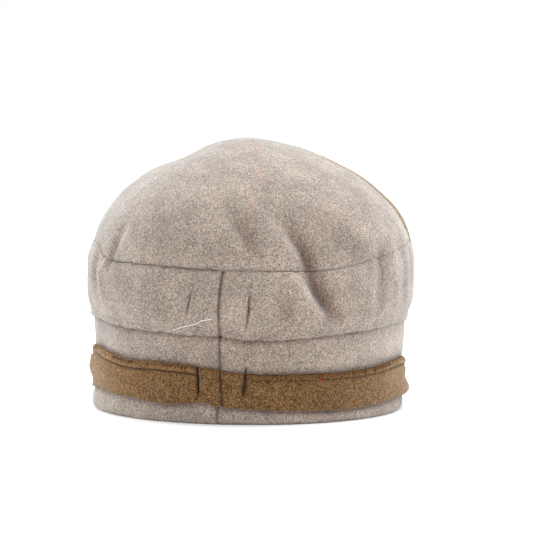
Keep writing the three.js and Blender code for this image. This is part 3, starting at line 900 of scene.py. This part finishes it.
# The side band: its tucked lower edge, the outside up to the seam, and back down inside.
def sideBandSection(turn):
    tuck, seam = edgeAt("tuck", turn), edgeAt("seam", turn)
    lip = hat["lowerHalfWidth"] + hat["lowerFlare"] + hat["gap"]
    wide = hat["bandHalfWidth"]
    inside = wide - hat["wall"]
    # the edges stand proud where they show
    proud = shareAt(seamShows, turn)
    thick = 1.2 + shareAt(tuckShows, turn)

    def at(share):
        return tuck + (seam - tuck) * share

    shown = [
        (lip + 0.05, tuck + 2.2), (lip + 0.15 * thick, tuck + 0.5), (lip + 0.45 * thick, tuck - 0.1),
        (lip + 0.82 * thick, tuck + 0.3), (lip + thick, tuck + 1.5), (wide - 1.0 + 0.8 * thick, tuck + 4.4),
        (wide + 2.1, at(0.22)), (wide + 3.0, at(0.4)), (wide + 2.9, at(0.58)), (wide + 2.6, at(0.78)),
        (wide + 1.2 + 0.5 * proud, seam - 4.2), (wide + 0.5 + 0.7 * proud, seam - 1.8),
        (wide + 0.2 + 0.4 * proud, seam - 0.6), (wide - 0.05 - 0.35 * proud, seam + 0.03),
        (wide - 1.7, seam),
    ]
    hidden = [
        (wide - 2.5, seam - 0.5), (wide - 2.8, seam - 2.0), (inside + 1.3, seam - 7),
        (inside + 2.6, at(0.58)), (inside + 2.3, at(0.36)), (inside + 1.0, tuck + 10), (lip, tuck + 6.6),
    ]
    shownSteps = [2, 1, 1, 2, 4, 6, 9, 9, 9, 8, 4, 2, 2, 2, 1]
    hiddenSteps = [1, 2, 3, 3, 2, 2, 2]
    return shown, shownSteps, hidden, hiddenSteps


# The lower band: the roll that the hat stands on, the outside up behind the side band, and back
# down inside to the edge that is turned up.
def lowerBandSection(turn):
    tuck, stripLow, stripHigh = (edgeAt(name, turn) for name in ("tuck", "stripLow", "stripHigh"))
    wide = hat["lowerHalfWidth"]
    inside = wide - hat["wall"]
    roll = wide + hat["rollStandsOut"]
    top = hat["rollHeight"]
    flare = hat["lowerFlare"]
    above = tuck + hat["tuckOverlap"]
    shown = [
        (roll - 4.8, 0.0), (roll - 2.7, 0.0), (roll - 1.2, 0.5), (roll - 0.3, 1.7), (roll + 0.15, 3.6),
        (roll + 0.2, stripLow * 0.5), (roll - 0.1, stripLow * 0.74), (roll - 0.9, stripLow * 0.95),
        (wide, stripLow + 1), (wide - 0.05, (stripLow + stripHigh) / 2), (wide, stripHigh - 1),
        (wide + 0.1, stripHigh + 2), (wide + 0.4, stripHigh + 6), (wide + 0.9, tuck - 5),
        (wide + flare - 0.05, tuck - 1), (wide + flare, tuck + 3),
    ]
    hidden = [
        (wide + flare - 0.1, above - 0.6), (wide + 0.2, above), (wide - 0.9, above),
        (inside + flare, above - 0.8), (inside + 0.4, stripHigh + 3), (inside, top + 3.5),
        (inside - 0.5, top + 1.0), (inside - 1.9, top + 0.1), (inside - 3.0, top - 1.6),
        (inside - 3.3, top * 0.5), (inside - 2.9, 1.4),
    ]
    shownSteps = [2, 2, 2, 3, 4, 5, 4, 2, 2, 2, 3, 5, 8, 5, 3, 2]
    hiddenSteps = [1, 1, 1, 4, 4, 2, 2, 2, 3, 3, 2]
    return shown, shownSteps, hidden, hiddenSteps


# The contrast strip: its folded hem shows as a lip with a groove below it, apart from the short
# stretch between the two slits.
hemRows = table("turn height share", [
    (-180, 5.0, 0.6), (-100, 5.0, 0.1), (-72, 5.2, 0.15), (-56, 5.2, 0.6), (-44, 5.2, 1.0),
    (-6.6, 4.6, 1.0), (-5.2, 4.2, 0.0), (10.2, 3.4, 0.0), (11.4, 3.2, 0.2), (34, 3.4, 0.45),
    (60, 4.2, 0.6), (88, 5.0, 0.8), (179, 5.0, 0.6),
])


# The height of the hem, and how clearly its lower edge shows.
def hemAt(turn):
    return np.interp(turn, hemRows["turn"], hemRows["height"]), shareAt(hemRows, turn)


def stripSection(turn):
    low, high, foot, waist, hem = (
        edgeAt(name, turn) for name in ("stripLow", "stripHigh", "foot", "waist", "hem")
    )
    hemHeight, shows = hemAt(turn)
    groove = high - hemHeight
    inside = hat["lowerHalfWidth"] + hat["gap"]
    wide = hat["stripHalfWidth"]
    dip = inside + hem * (0.93 - 0.5 * shows)

    def at(share):
        return low + (groove - low) * share

    shown = [
        (inside, low + 1.0), (inside + 0.5, low + 0.15), (wide - 1.0, low - 0.05),
        (wide - 0.2 + foot * 0.6, low + 0.6), (wide + foot, low + 2.2), (wide + foot, at(0.24)),
        (wide + (foot + waist) / 2, at(0.42)), (wide + waist, at(0.6)),
        (wide + waist * 0.6 - 0.1, at(0.8)), (wide + waist * 0.2 - 0.3, groove - 0.8),
        (dip, groove - 0.1), (inside + hem * 0.98, groove + 0.3), (inside + hem + 0.3, groove + 1.1),
        (inside + hem + 0.2, high - 1.5), (inside + hem - 0.15, high - 0.6),
        (inside + hem * 0.6, high + 0.05),
    ]
    hidden = [(inside + 0.35, high - 0.1), (inside, high - 1.2), (inside, at(0.5))]
    shownSteps = [2, 1, 1, 2, 3, 5, 5, 6, 4, 2, 1, 2, 4, 2, 2, 1]
    hiddenSteps = [1, 4, 4]
    return shown, shownSteps, hidden, hiddenSteps


crown = {
    "curl": 1.8,            # how far from a seam the edge starts to turn in, in mm
    "curlDepth": 0.6,
    "curlPower": 2.2,       # the higher, the rounder the edge
    "seamPaintedShade": 0.22,     # how much shade is painted along a seam, and how far that reaches
    "seamReach": 1.2,
    "pinch": 0.8,           # the panels stop this short of the corners where three seams meet
    "reach": 95.0,          # about as far as the dome reaches, to turn mm into an angle over the top
    "earTurns": (80, 105),  # turns between which the seams meet, and how many of them are tried
    "earTries": 2001,
    "crowding": 0.22,       # how much the rows crowd towards the seams, and how much of it in between
    "crowdingBetween": 0.4,
    "innerRows": 20,
    "innerPoint": 0.25,     # the wall grows towards a point this share of the dome's rise below it
}


def forwardAt(height):
    return smoothThrough(panelSeamLine["height"], panelSeamLine["forward"], height)


# Pushes directions from the middle of the dome's widest level out to the dome, by halving the
# lengths between which it lies.
def ontoDome(directions, longest=300.0, halvings=40):
    flat = np.hypot(directions[..., 0], directions[..., 1] / hat["depthRatio"]) / hat["domeHalfWidth"]
    steep = np.abs(directions[..., 2]) / hat["domeRise"]
    low, high = np.zeros(flat.shape), np.full(flat.shape, longest)
    for _ in range(halvings):
        middle = (low + high) / 2
        inside = (middle * flat) ** hat["domeWidthPower"] + (middle * steep) ** hat["domeRisePower"] < 1
        low, high = np.where(inside, middle, low), np.where(inside, high, middle)
    points = directions * low[..., None]
    points[..., 2] += hat["domeFoot"]
    return points


# Points of the panel seam, by the angle over the top from the wearer's right. Each try moves them
# by what they still miss.
def panelSeam(angle, side, firstGuess=3.0, tries=30):
    forward = np.full(angle.shape, firstGuess)
    for _ in range(tries):
        reach = ontoDome(np.stack([np.cos(angle), forward / crown["reach"], np.sin(angle)], axis=-1))
        forward += (forwardAt(reach[..., 2]) + side * hat["seamGap"] / 2 - reach[..., 1])
    return reach


# Points of the dome where it meets the side band.
def bandSeam(turn):
    height = edgeAt("seam", turn) + hat["seamGap"]
    return onRing(turn, domeHalfWidthAt(np.abs(height - hat["domeFoot"]) / hat["domeRise"]), height)


# Where the panel seam meets the band seam: its turn, and its angle over the top.
def earCorner(hand, side):
    turns = np.linspace(*crown["earTurns"], crown["earTries"]) * hand
    foot = bandSeam(turns)
    missed = foot[:, 1] - forwardAt(foot[:, 2]) - side * hat["seamGap"] / 2
    nearest = np.argmin(np.abs(missed))
    place = foot[nearest]
    return turns[nearest], math.atan2(place[2] - hat["domeFoot"], place[0])


# The smooth outside of a panel, as columns of rows, and the turn at the foot of each column.
def panelOutside(side, columns, rows):
    rightTurn, rightAngle = earCorner(1, side)
    leftTurn, leftAngle = earCorner(-1, side)
    leftAngle %= 2 * math.pi
    share = np.linspace(0, 1, columns + 1)
    pinch = crown["pinch"] / crown["reach"] / 2
    angles = leftAngle + (rightAngle - leftAngle) * (pinch + (1 - 2 * pinch) * share)
    if side < 0:
        turns = leftTurn + (rightTurn - leftTurn) * share
    else:
        turns = rightTurn + (leftTurn + 360 - rightTurn) * share
        angles = angles[::-1]

    # rows crowd towards both seams, where the edges turn in
    even = np.linspace(-1, 1, rows + 1)
    between = 1 + crown["crowdingBetween"] - crown["crowdingBetween"] * even**2
    crowded = crown["crowding"] * np.sin(even * math.pi / 2) * between
    up = 0.5 + 0.5 * ((1 - crown["crowding"]) * even + crowded)
    up = ((up - up[0]) / (up[-1] - up[0]))[None, :, None]
    middle = np.array([0, 0, hat["domeFoot"]])
    foot, top = unit(bandSeam(turns) - middle), unit(panelSeam(angles, side) - middle)
    angle = np.arccos(np.clip((foot * top).sum(-1), -1, 1))[:, None, None]
    ways = (np.sin((1 - up) * angle) * foot[:, None] + np.sin(up * angle) * top[:, None]) / np.sin(angle)
    return ontoDome(ways), turns


# How far the edges of a panel turn in, and how much shade is painted along its seams.
def seamsOf(outside, turns):
    steps = np.linalg.norm(np.diff(outside, axis=1), axis=-1)
    fromFoot = np.concatenate([np.zeros((len(turns), 1)), np.cumsum(steps, axis=1)], axis=1)
    length = fromFoot[:, -1:]
    small = np.minimum(1, length / (2 * crown["curl"]))
    shows = shareAt(seamShows, (turns + 180) % 360 - 180)[:, None]
    shows = shows * (1 + waver["closed"] * waveAt("crown", turns))[:, None]
    curled, seamed = np.zeros(fromFoot.shape), np.zeros(fromFoot.shape)
    for distance, clear in ((fromFoot, shows), (length - fromFoot, 1.0)):
        near = np.clip(1 - distance / crown["curl"] / small, 0, 1)
        curled = np.maximum(curled, crown["curlDepth"] * clear * near ** crown["curlPower"])
        closed = crown["seamPaintedShade"] * clear * np.exp(-((distance / crown["seamReach"]) ** 2))
        seamed = np.maximum(seamed, closed)
    return curled, seamed


# Quads of one wall of a panel and their corners on the bake map. inwards turns them round.
def wallQuads(first, columns, rows, share, inwards):
    c, r = np.meshgrid(np.arange(columns), np.arange(rows - 1), indexing="ij")
    here, beside = first + c * rows + r, first + (c + 1) * rows + r
    quads = np.stack([here, beside, beside + 1, here + 1], axis=-1)
    low, high = share
    across, up = 1 / columns, (high - low) / (rows - 1)
    left, level = c * across, low + r * up
    corners = mapCorners(left, left + across, level, level + up).reshape(c.shape + (4, 2))
    if inwards:
        quads, corners = quads[..., ::-1], corners[..., ::-1, :]
    return quads.reshape(-1, 4), corners.reshape(-1, 8)


# A panel runs from ear to ear along its columns and from the band up to the panel seam along its
# rows. side is -1 for the back and 1 for the forehead.
def crownPanel(name, side, columns, rows, material):
    outside, turns = panelOutside(side, columns, rows)
    curled, seamed = seamsOf(outside, turns)
    innerPoint = np.array([0, 0, hat["domeFoot"] - hat["domeRise"] * crown["innerPoint"]])
    inwards = unit(innerPoint - outside)
    shown, closed = settled(outside + inwards * curled[..., None], outside)
    # shade painted for the folds, the painted paths and the seams
    shade = np.clip(1 - closed - seamed, shadePainting["darkest"], shadePainting["palest"])

    # the inner wall has fewer rows
    picks = np.unique(np.round(np.linspace(0, rows, crown["innerRows"] + 1)).astype(int))
    lining = settled(outside[:, picks] + inwards[:, picks] * hat["wall"], outside[:, picks])[0]
    points = np.concatenate([shown.reshape(-1, 3), lining.reshape(-1, 3)])
    paintedTone = np.concatenate([shade.ravel(), np.ones(lining.shape[:-1]).ravel()])

    outerRows, innerRows = rows + 1, len(picks)
    inner = (columns + 1) * outerRows
    walls = [
        wallQuads(0, columns, outerRows, bakeMap["outside"], False),
        wallQuads(inner, columns, innerRows, bakeMap["inside"], True),
    ]
    # the rims that close the two walls along the foot and the top
    c = np.arange(columns)
    outerFoot, innerFoot = c * outerRows, inner + c * innerRows
    outerTop, innerTop = outerFoot + outerRows - 1, innerFoot + innerRows - 1
    foot = [innerFoot, innerFoot + innerRows, outerFoot + outerRows, outerFoot]
    top = [outerTop, outerTop + outerRows, innerTop + innerRows, innerTop]
    for edge, share in ((foot, bakeMap["foot"]), (top, bakeMap["top"])):
        walls.append((np.stack(edge, axis=-1), mapCorners(c / columns, (c + 1) / columns, *share)))
    quads, corners = (np.concatenate(parts) for parts in zip(*walls))
    piece = makeMesh(name, points, quads, corners, paintedTone, material)
    closeEnds(piece, columns, outerRows, innerRows, picks)
    return piece


# Fills the two short ends of a panel with faces between the outer and the inner wall.
def closeEnds(piece, columns, outerRows, innerRows, picks):
    shape = bmesh.new()
    shape.from_mesh(piece.data)
    shape.verts.ensure_lookup_table()
    for end in (0, columns):
        outer = end * outerRows
        inner = (columns + 1) * outerRows + end * innerRows
        for i in range(len(picks) - 1):
            loop = [outer + r for r in range(picks[i], picks[i + 1] + 1)] + [inner + i + 1, inner + i]
            verts = [shape.verts[k] for k in loop]
            if end:
                verts.reverse()
            shape.faces.new(verts).smooth = True
    shape.to_mesh(piece.data)
    shape.free()


# The nap can sink a point of the roll into the floor, so it is laid back on it.
def layOnFloor(piece):
    mesh = piece.data
    places = np.empty(len(mesh.vertices) * 3, dtype=np.float32)
    mesh.vertices.foreach_get("co", places)
    places[2::3] = np.maximum(places[2::3], 0)
    mesh.vertices.foreach_set("co", places)
    mesh.update()


def finishPiece(piece, node=None):
    layOnFloor(piece)
    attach(piece, "root")
    if node:
        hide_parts(node)
    print(piece.name, "has", sum(len(face.vertices) - 2 for face in piece.data.polygons), "triangles")


napValues = {name: value * millimetre for name, value in nap.items()}
rings = {
    "sideBand": {
        "node": "side_band", "section": sideBandSection, "creases": bandCreases,
        "material": greige, "slot": "greige_fleece",
    },
    "lowerBand": {
        "node": "lower_band", "section": lowerBandSection, "creases": lowerCreases,
        "material": greige, "slot": "greige_fleece",
    },
    "contrastStrip": {
        "node": "contrast_strip", "section": stripSection, "creases": stripCreases,
        "material": tan, "slot": "tan_fleece",
    },
}
panels = {
    "crownBack": {
        "node": "crown_back", "side": -1, "columns": 440, "rows": 170,
        "material": chalkedGreige, "slot": "greige_fleece",
    },
    "crownFront": {
        "node": "crown_front", "side": 1, "columns": 360, "rows": 130,
        "material": tan, "slot": "tan_fleece",
    },
}
cloth = {}
for name, look in (rings | panels).items():
    if name in rings:
        piece = ringPiece(name, look["section"], look["creases"], look["material"])
    else:
        piece = crownPanel(name, look["side"], look["columns"], look["rows"], look["material"])
    cloth[name] = bakeTree(piece, napTree, dict(napValues, Fleece=look["material"]))
    finishPiece(piece, look["node"])
print("the fleece pieces are made")


# Spun polyester sewing thread: two plies twisted, matt, with a soft shine along the twist.
threads = {
    "rust": {"name": "spunThreadRust", "colour": "#7c5228"},
    "ginger": {"name": "spunThreadGinger", "colour": "#683e18"},
    "brown": {"name": "spunThreadBrown", "colour": "#3c2410"},
    "sand": {"name": "spunThreadSand", "colour": "#9a7b58"},
    "taupe": {"name": "spunThreadTaupe", "colour": "#5a4b42"},
    "white": {"name": "spunThreadWhite", "colour": "#f0ece8"},
    "red": {"name": "fibreLintRed", "colour": "#a80c12"},
}
ply = {
    "twist": 3.63,      # from turn to turn in mm: coarser than the real one, so that it shows
    "wavy": 1.0,
    "bump": 0.4,
    "bumpDepth": 0.05,  # in mm
    "roughness": 0.7,
    "shine": 0.2,
    "sheen": 0.05,
    "corners": 5,       # of the thread's round section
}


def makeThread(look):
    material, tree, shader = newMaterial(look["name"], {
        "Base Color": hexToLinear(look["colour"]),
        "Roughness": ply["roughness"],
        "Specular IOR Level": ply["shine"],
        "Sheen Weight": ply["sheen"],
    })
    where = addNode(tree, "ShaderNodeTexCoord", out="Object")
    # a diagonal wave has 10 radians for each unit of x, y and z together
    scale = 2 * math.pi / 10 / math.sqrt(3) / (ply["twist"] * millimetre)
    sockets = {"Vector": where, "Scale": scale, "Distortion": ply["wavy"]}
    twist = addNode(tree, "ShaderNodeTexWave", sockets, "Fac", bands_direction="DIAGONAL")
    bump = addNode(tree, "ShaderNodeBump", {
        "Height": twist, "Strength": ply["bump"], "Distance": ply["bumpDepth"] * millimetre,
    })
    tree.links.new(bump, shader.inputs["Normal"])
    return material


threadMaterials = {name: makeThread(look) for name, look in threads.items()}


# A smooth round thread swept along a curve.
def sweepThread(tree, curve, thickness):
    sockets = {"Resolution": ply["corners"], "Radius": thickness}
    section = addNode(tree, "GeometryNodeCurvePrimitiveCircle", sockets)
    sockets = {"Curve": curve, "Profile Curve": section, "Fill Caps": True}
    swept = addNode(tree, "GeometryNodeCurveToMesh", sockets)
    return addNode(tree, "GeometryNodeSetShadeSmooth", {"Geometry": swept})


# The bar of thread in a stitch: how much its lean in radians and its size change at the most.
bar = {"steps": 5, "lean": (-0.5, 0.5), "size": (-0.6, 0.4)}


# A row of stitches along a path. Each is an arched bar of thread that leans across the path, every
# second one the other way where Zigzag is 1.
def makeStitchTree():
    sizes = ("Pitch", "Stitch Length", "Thread Radius", "Arch", "Lean", "Zigzag", "Uneven", "Seed")
    tree, given = newTree("stitchRow", sizes, "Thread")

    # a draw for each stitch, less or more of it with Uneven
    def uneven(limits, shift):
        seed = addNode(tree, maths, {0: given["Seed"], 1: shift})
        value = addNode(tree, "FunctionNodeRandomValue", {"Seed": seed}, 1)
        sockets = {"Value": value, "To Min": limits[0], "To Max": limits[1]}
        spread = addNode(tree, "ShaderNodeMapRange", sockets)
        return addNode(tree, maths, {0: spread, 1: given["Uneven"]}, operation="MULTIPLY")

    path = addNode(tree, "GeometryNodeMeshToCurve", {"Mesh": given["Geometry"]})
    places = addNode(
        tree, "GeometryNodeResampleCurve", {"Curve": path, "Length": given["Pitch"]}, mode="LENGTH"
    )
    out = addNode(tree, "GeometryNodeInputNamedAttribute", {"Name": "outward"}, data_type="FLOAT_VECTOR")
    along = addNode(tree, "GeometryNodeInputTangent")
    across = addNode(tree, vectorMaths, {0: out, 1: along}, operation="CROSS_PRODUCT")

    # the bar's way: the tangent turned by the lean, and by the other lean at every second stitch
    number = addNode(tree, "GeometryNodeInputIndex")
    odd = addNode(tree, maths, {0: number, 1: 2.0}, operation="MODULO")
    turns = addNode(tree, maths, {0: odd, 1: given["Zigzag"]}, operation="MULTIPLY")
    twice = addNode(tree, maths, {0: turns, 1: 2.0}, operation="MULTIPLY")
    side = addNode(tree, maths, {0: 1.0, 1: twice}, operation="SUBTRACT")
    lean = addNode(tree, maths, {0: given["Lean"], 1: side}, operation="MULTIPLY")
    lean = addNode(tree, maths, {0: lean, 1: uneven(bar["lean"], 1)})
    parts = {}
    for socket, (way, operation) in enumerate(((along, "COSINE"), (across, "SINE"))):
        length = addNode(tree, maths, {0: lean}, operation=operation)
        parts[socket] = addNode(tree, vectorMaths, {0: way, "Scale": length}, operation="SCALE")
    way = addNode(tree, vectorMaths, parts)
    turned = addNode(
        tree, "FunctionNodeAxesToRotation", {"Primary Axis": out, "Secondary Axis": way},
        primary_axis="Z", secondary_axis="X",
    )

    half = addNode(tree, maths, {0: given["Stitch Length"], 1: 0.5}, operation="MULTIPLY")
    ends = []
    for sign in (-1.0, 1.0):
        end = addNode(tree, maths, {0: half, 1: sign}, operation="MULTIPLY")
        ends.append(addNode(tree, "ShaderNodeCombineXYZ", {"X": end}))
    top = addNode(tree, maths, {0: given["Arch"], 1: 2.0}, operation="MULTIPLY")
    top = addNode(tree, "ShaderNodeCombineXYZ", {"Z": top})
    arch = addNode(tree, "GeometryNodeCurveQuadraticBezier", {
        "Resolution": bar["steps"], "Start": ends[0], "Middle": top, "End": ends[1],
    })
    stitch = sweepThread(tree, arch, given["Thread Radius"])
    size = addNode(tree, maths, {0: 1.0, 1: uneven(bar["size"], 2)})
    stitches = addNode(tree, "GeometryNodeInstanceOnPoints", {
        "Points": places, "Instance": stitch, "Rotation": turned, "Scale": size,
    })
    endTree(tree, stitches, given["Thread"])
    return tree


# One thread that runs along a path and wanders a little from it.
def makeRunTree():
    tree, given = newTree("threadRun", ("Thread Radius", "Wander", "Wander Size"), "Thread")
    path = addNode(tree, "GeometryNodeMeshToCurve", {"Mesh": given["Geometry"]})
    scale = addNode(tree, maths, {0: 1.0, 1: given["Wander Size"]}, operation="DIVIDE")
    noise = addNode(tree, noises, {"Scale": scale, "Detail": 2.0}, "Color")
    centred = addNode(tree, vectorMaths, {0: noise, 1: (0.5, 0.5, 0.5)}, operation="SUBTRACT")
    sockets = {0: centred, "Scale": given["Wander"]}
    offset = addNode(tree, vectorMaths, sockets, operation="SCALE")
    moved = addNode(tree, "GeometryNodeSetPosition", {"Geometry": path, "Offset": offset})
    endTree(tree, sweepThread(tree, moved, given["Thread Radius"]), given["Thread"])
    return tree


stitchTree, runTree = makeStitchTree(), makeRunTree()
depsgraph = bpy.context.evaluated_depsgraph_get()
surfaces = {name: BVHTree.FromObject(piece, depsgraph) for name, piece in cloth.items()}


# Lays a path of turns and heights on the outside of a piece. Gives its points and the way out there.
def layPath(name, turns, heights, lift):
    points, ways = [], []
    for turn, height in zip(turns, heights):
        place = onRing(turn, hat["bandHalfWidth"], height)
        start = Vector((2 * place[0], 2 * place[1], sunkHeight(place))) * millimetre
        inwards = Vector((-start.x, -start.y, 0)).normalized()
        place, way, _, _ = surfaces[name].ray_cast(start, inwards)
        if place:
            points.append(place + way * lift * millimetre)
            ways.append(way)
    points, ways = np.array(points), np.array(ways)
    softened = ways.copy()
    softened[1:-1] = (ways[:-2] + ways[1:-1] + ways[2:]) / 3
    return points, unit(softened)


# The turns and heights of a path, a step apart in mm, either along an edge or through rows.
def pathPlaces(row, step=0.6, fewest=4):
    perDegree = math.radians(hat["bandHalfWidth"])
    if "edge" in row:
        low, high = row["turns"]
        turns = np.linspace(low, high, round((high - low) * perDegree / step))
        return turns, shownEdge(row["edge"], (turns + 180) % 360 - 180)[0] + row["above"]
    stops = np.array(row["through"], float)
    gaps = np.hypot(np.diff(stops[:, 0]) * perDegree, np.diff(stops[:, 1]))
    along = np.concatenate([[0], np.cumsum(gaps)])
    at = np.linspace(0, along[-1], max(fewest, round(along[-1] / step)))
    return smoothThrough(along, stops[:, 0], at), smoothThrough(along, stops[:, 1], at)


# Lays a row's path, turns it into thread with a tree, and gives it its place in the hat.
def sew(name, row, tree, lift, values):
    points, ways = layPath(row["on"], *pathPlaces(row), lift)
    mesh = bpy.data.meshes.new(name)
    mesh.from_pydata(points.tolist(), [(i, i + 1) for i in range(len(points) - 1)], [])
    outward = mesh.attributes.new("outward", "FLOAT_VECTOR", "POINT")
    outward.data.foreach_set("vector", ways.astype(np.float32).ravel())
    values["Thread"] = threadMaterials[row["thread"]]
    finishPiece(bakeTree(newObject(name, mesh), tree, values))


# Every row of stitching. Lengths are in mm, turns and lean in degrees, and above is from the edge.
overlock = {"on": "contrastStrip", "edge": "stripHigh", "zigzag": 0, "uneven": 0.8}
backSeam = {
    "thread": "taupe", "pitch": 2.3, "length": 1.6, "radius": 0.24, "arch": 0.2, "lean": 22,
    "zigzag": 1, "uneven": 0.7,
}
stitchRows = {
    "overlockLeft": dict(
        overlock, turns=(-44, -6.8), above=-1.9, thread="ginger",
        pitch=2.0, length=1.7, radius=0.21, arch=0.35, lean=58, uneven=1.0,
    ),
    "overlockLeftUnder": dict(
        overlock, turns=(-43.6, -7), above=-1.6, thread="brown",
        pitch=2.3, length=1.4, radius=0.18, arch=0.4, lean=58, uneven=1.0,
    ),
    "overlockPale": dict(
        overlock, turns=(-178, -44), above=-1.7, thread="sand",
        pitch=1.9, length=2.2, radius=0.2, arch=0.2, lean=62, uneven=0.7,
    ),
    "overlockPaleRight": dict(
        overlock, turns=(72, 181.5), above=-1.5, thread="sand",
        pitch=1.7, length=2.0, radius=0.22, arch=0.25, lean=76,
    ),
    "overlockRight": dict(
        overlock, turns=(12, 72), above=-1.4, thread="rust",
        pitch=1.45, length=1.9, radius=0.24, arch=0.3, lean=78,
    ),
    "overlockRightUnder": dict(
        overlock, turns=(12.4, 82), above=-1.3, thread="brown",
        pitch=1.45, length=1.9, radius=0.17, arch=0.15, lean=82,
    ),
    "overlockMiddle": dict(
        overlock, turns=(-4.9, 9.6), above=-1.1, thread="rust",
        pitch=1.9, length=1.7, radius=0.2, arch=0.2, lean=50, zigzag=1,
    ),
    "overlockCrossings": dict(
        overlock, turns=(46, 78), above=-1.9, thread="brown",
        pitch=8.3, length=2.6, radius=0.24, arch=0.35, lean=86, uneven=0.5,
    ),
    "needleLine": dict(
        overlock, edge="groove", turns=(12, 84), above=0.5, thread="brown",
        pitch=2.3, length=1.5, radius=0.17, arch=0.15, lean=0, uneven=0.7,
    ),
    "footLine": dict(
        overlock, edge="stripLow", turns=(-24, 1), above=0.7, thread="ginger",
        pitch=1.9, length=1.7, radius=0.16, arch=0.1, lean=4, zigzag=1, uneven=0.4,
    ),
    "seamInTheStrip": dict(
        on="contrastStrip", through=[(2.5, 31.5), (3.0, 21), (3.3, 13)], thread="brown",
        pitch=2.2, length=1.1, radius=0.3, arch=0.35, lean=12, zigzag=1, uneven=0.5,
    ),
    "seamInTheBand": dict(
        backSeam, on="sideBand", through=[(2.8, 87), (2.2, 79), (1.7, 67), (1.8, 57), (2.2, 53)],
    ),
    "seamInTheLowerBand": dict(
        backSeam, on="lowerBand", through=[(1.6, 49), (1.6, 45), (2.0, 38), (2.1, 34.5)],
    ),
    "seamInTheRoll": dict(backSeam, on="lowerBand", through=[(1.7, 11), (1.6, 6), (1.6, 1.5)]),
}
stitchLift = -0.05      # in mm: they pull themselves a little into the pile
for number, (name, row) in enumerate(stitchRows.items()):
    sew(name, row, stitchTree, stitchLift, {
        "Pitch": row["pitch"] * millimetre,
        "Stitch Length": row["length"] * millimetre,
        "Thread Radius": row["radius"] * millimetre,
        "Arch": row["arch"] * millimetre,
        "Lean": math.radians(row["lean"]),
        "Zigzag": float(row["zigzag"]),
        "Uneven": row["uneven"],
        "Seed": float(number),
    })

# Single threads: the edge of the overlock, and what was left lying on the fleece.
edgeThread = {
    "on": "contrastStrip", "edge": "stripHigh", "above": -0.3, "wander": 0.7, "wanderSize": 2.2,
    "lift": 0.04,
}
lint = {"wander": 0.5, "wanderSize": 1.0, "lift": 0.05}
redLint = dict(lint, on="contrastStrip", thread="red", radius=0.2)
threadRuns = {
    "edgeThreadLeft": dict(edgeThread, turns=(-178, -6.9), thread="ginger", radius=0.18),
    "edgeThreadRight": dict(edgeThread, turns=(11.8, 181.5), thread="brown", radius=0.24),
    "looseThread": dict(
        on="sideBand", thread="white", radius=0.17, wander=0.9, wanderSize=5.0, lift=0.2,
        through=[(-14.9, 54.2), (-11.6, 56.3), (-9.2, 57.2), (-6.1, 58.4), (-3.9, 60.3), (-0.2, 61.4)],
    ),
    "redLintRight": dict(
        redLint, radius=0.28, lift=0.1, through=[(37.2, 27.0), (37.6, 26.4), (38.1, 26.7), (37.9, 25.8)],
    ),
    "redLintLeft": dict(redLint, through=[(-51.5, 34.6), (-50.8, 34.0), (-50.2, 33.4)]),
    "redLintFarLeft": dict(redLint, through=[(-72.2, 23.1), (-71.8, 22.5), (-71.3, 22.2)]),
    "whiteLint": dict(
        lint, on="sideBand", thread="white", radius=0.16,
        through=[(-29.8, 80.8), (-29.3, 80.5), (-28.9, 80.7)],
    ),
}
for name, row in threadRuns.items():
    sew(name, row, runTree, row["lift"], {
        "Thread Radius": row["radius"] * millimetre,
        "Wander": row["wander"] * millimetre,
        "Wander Size": row["wanderSize"] * millimetre,
    })
print("the stitching and the stray threads are made")
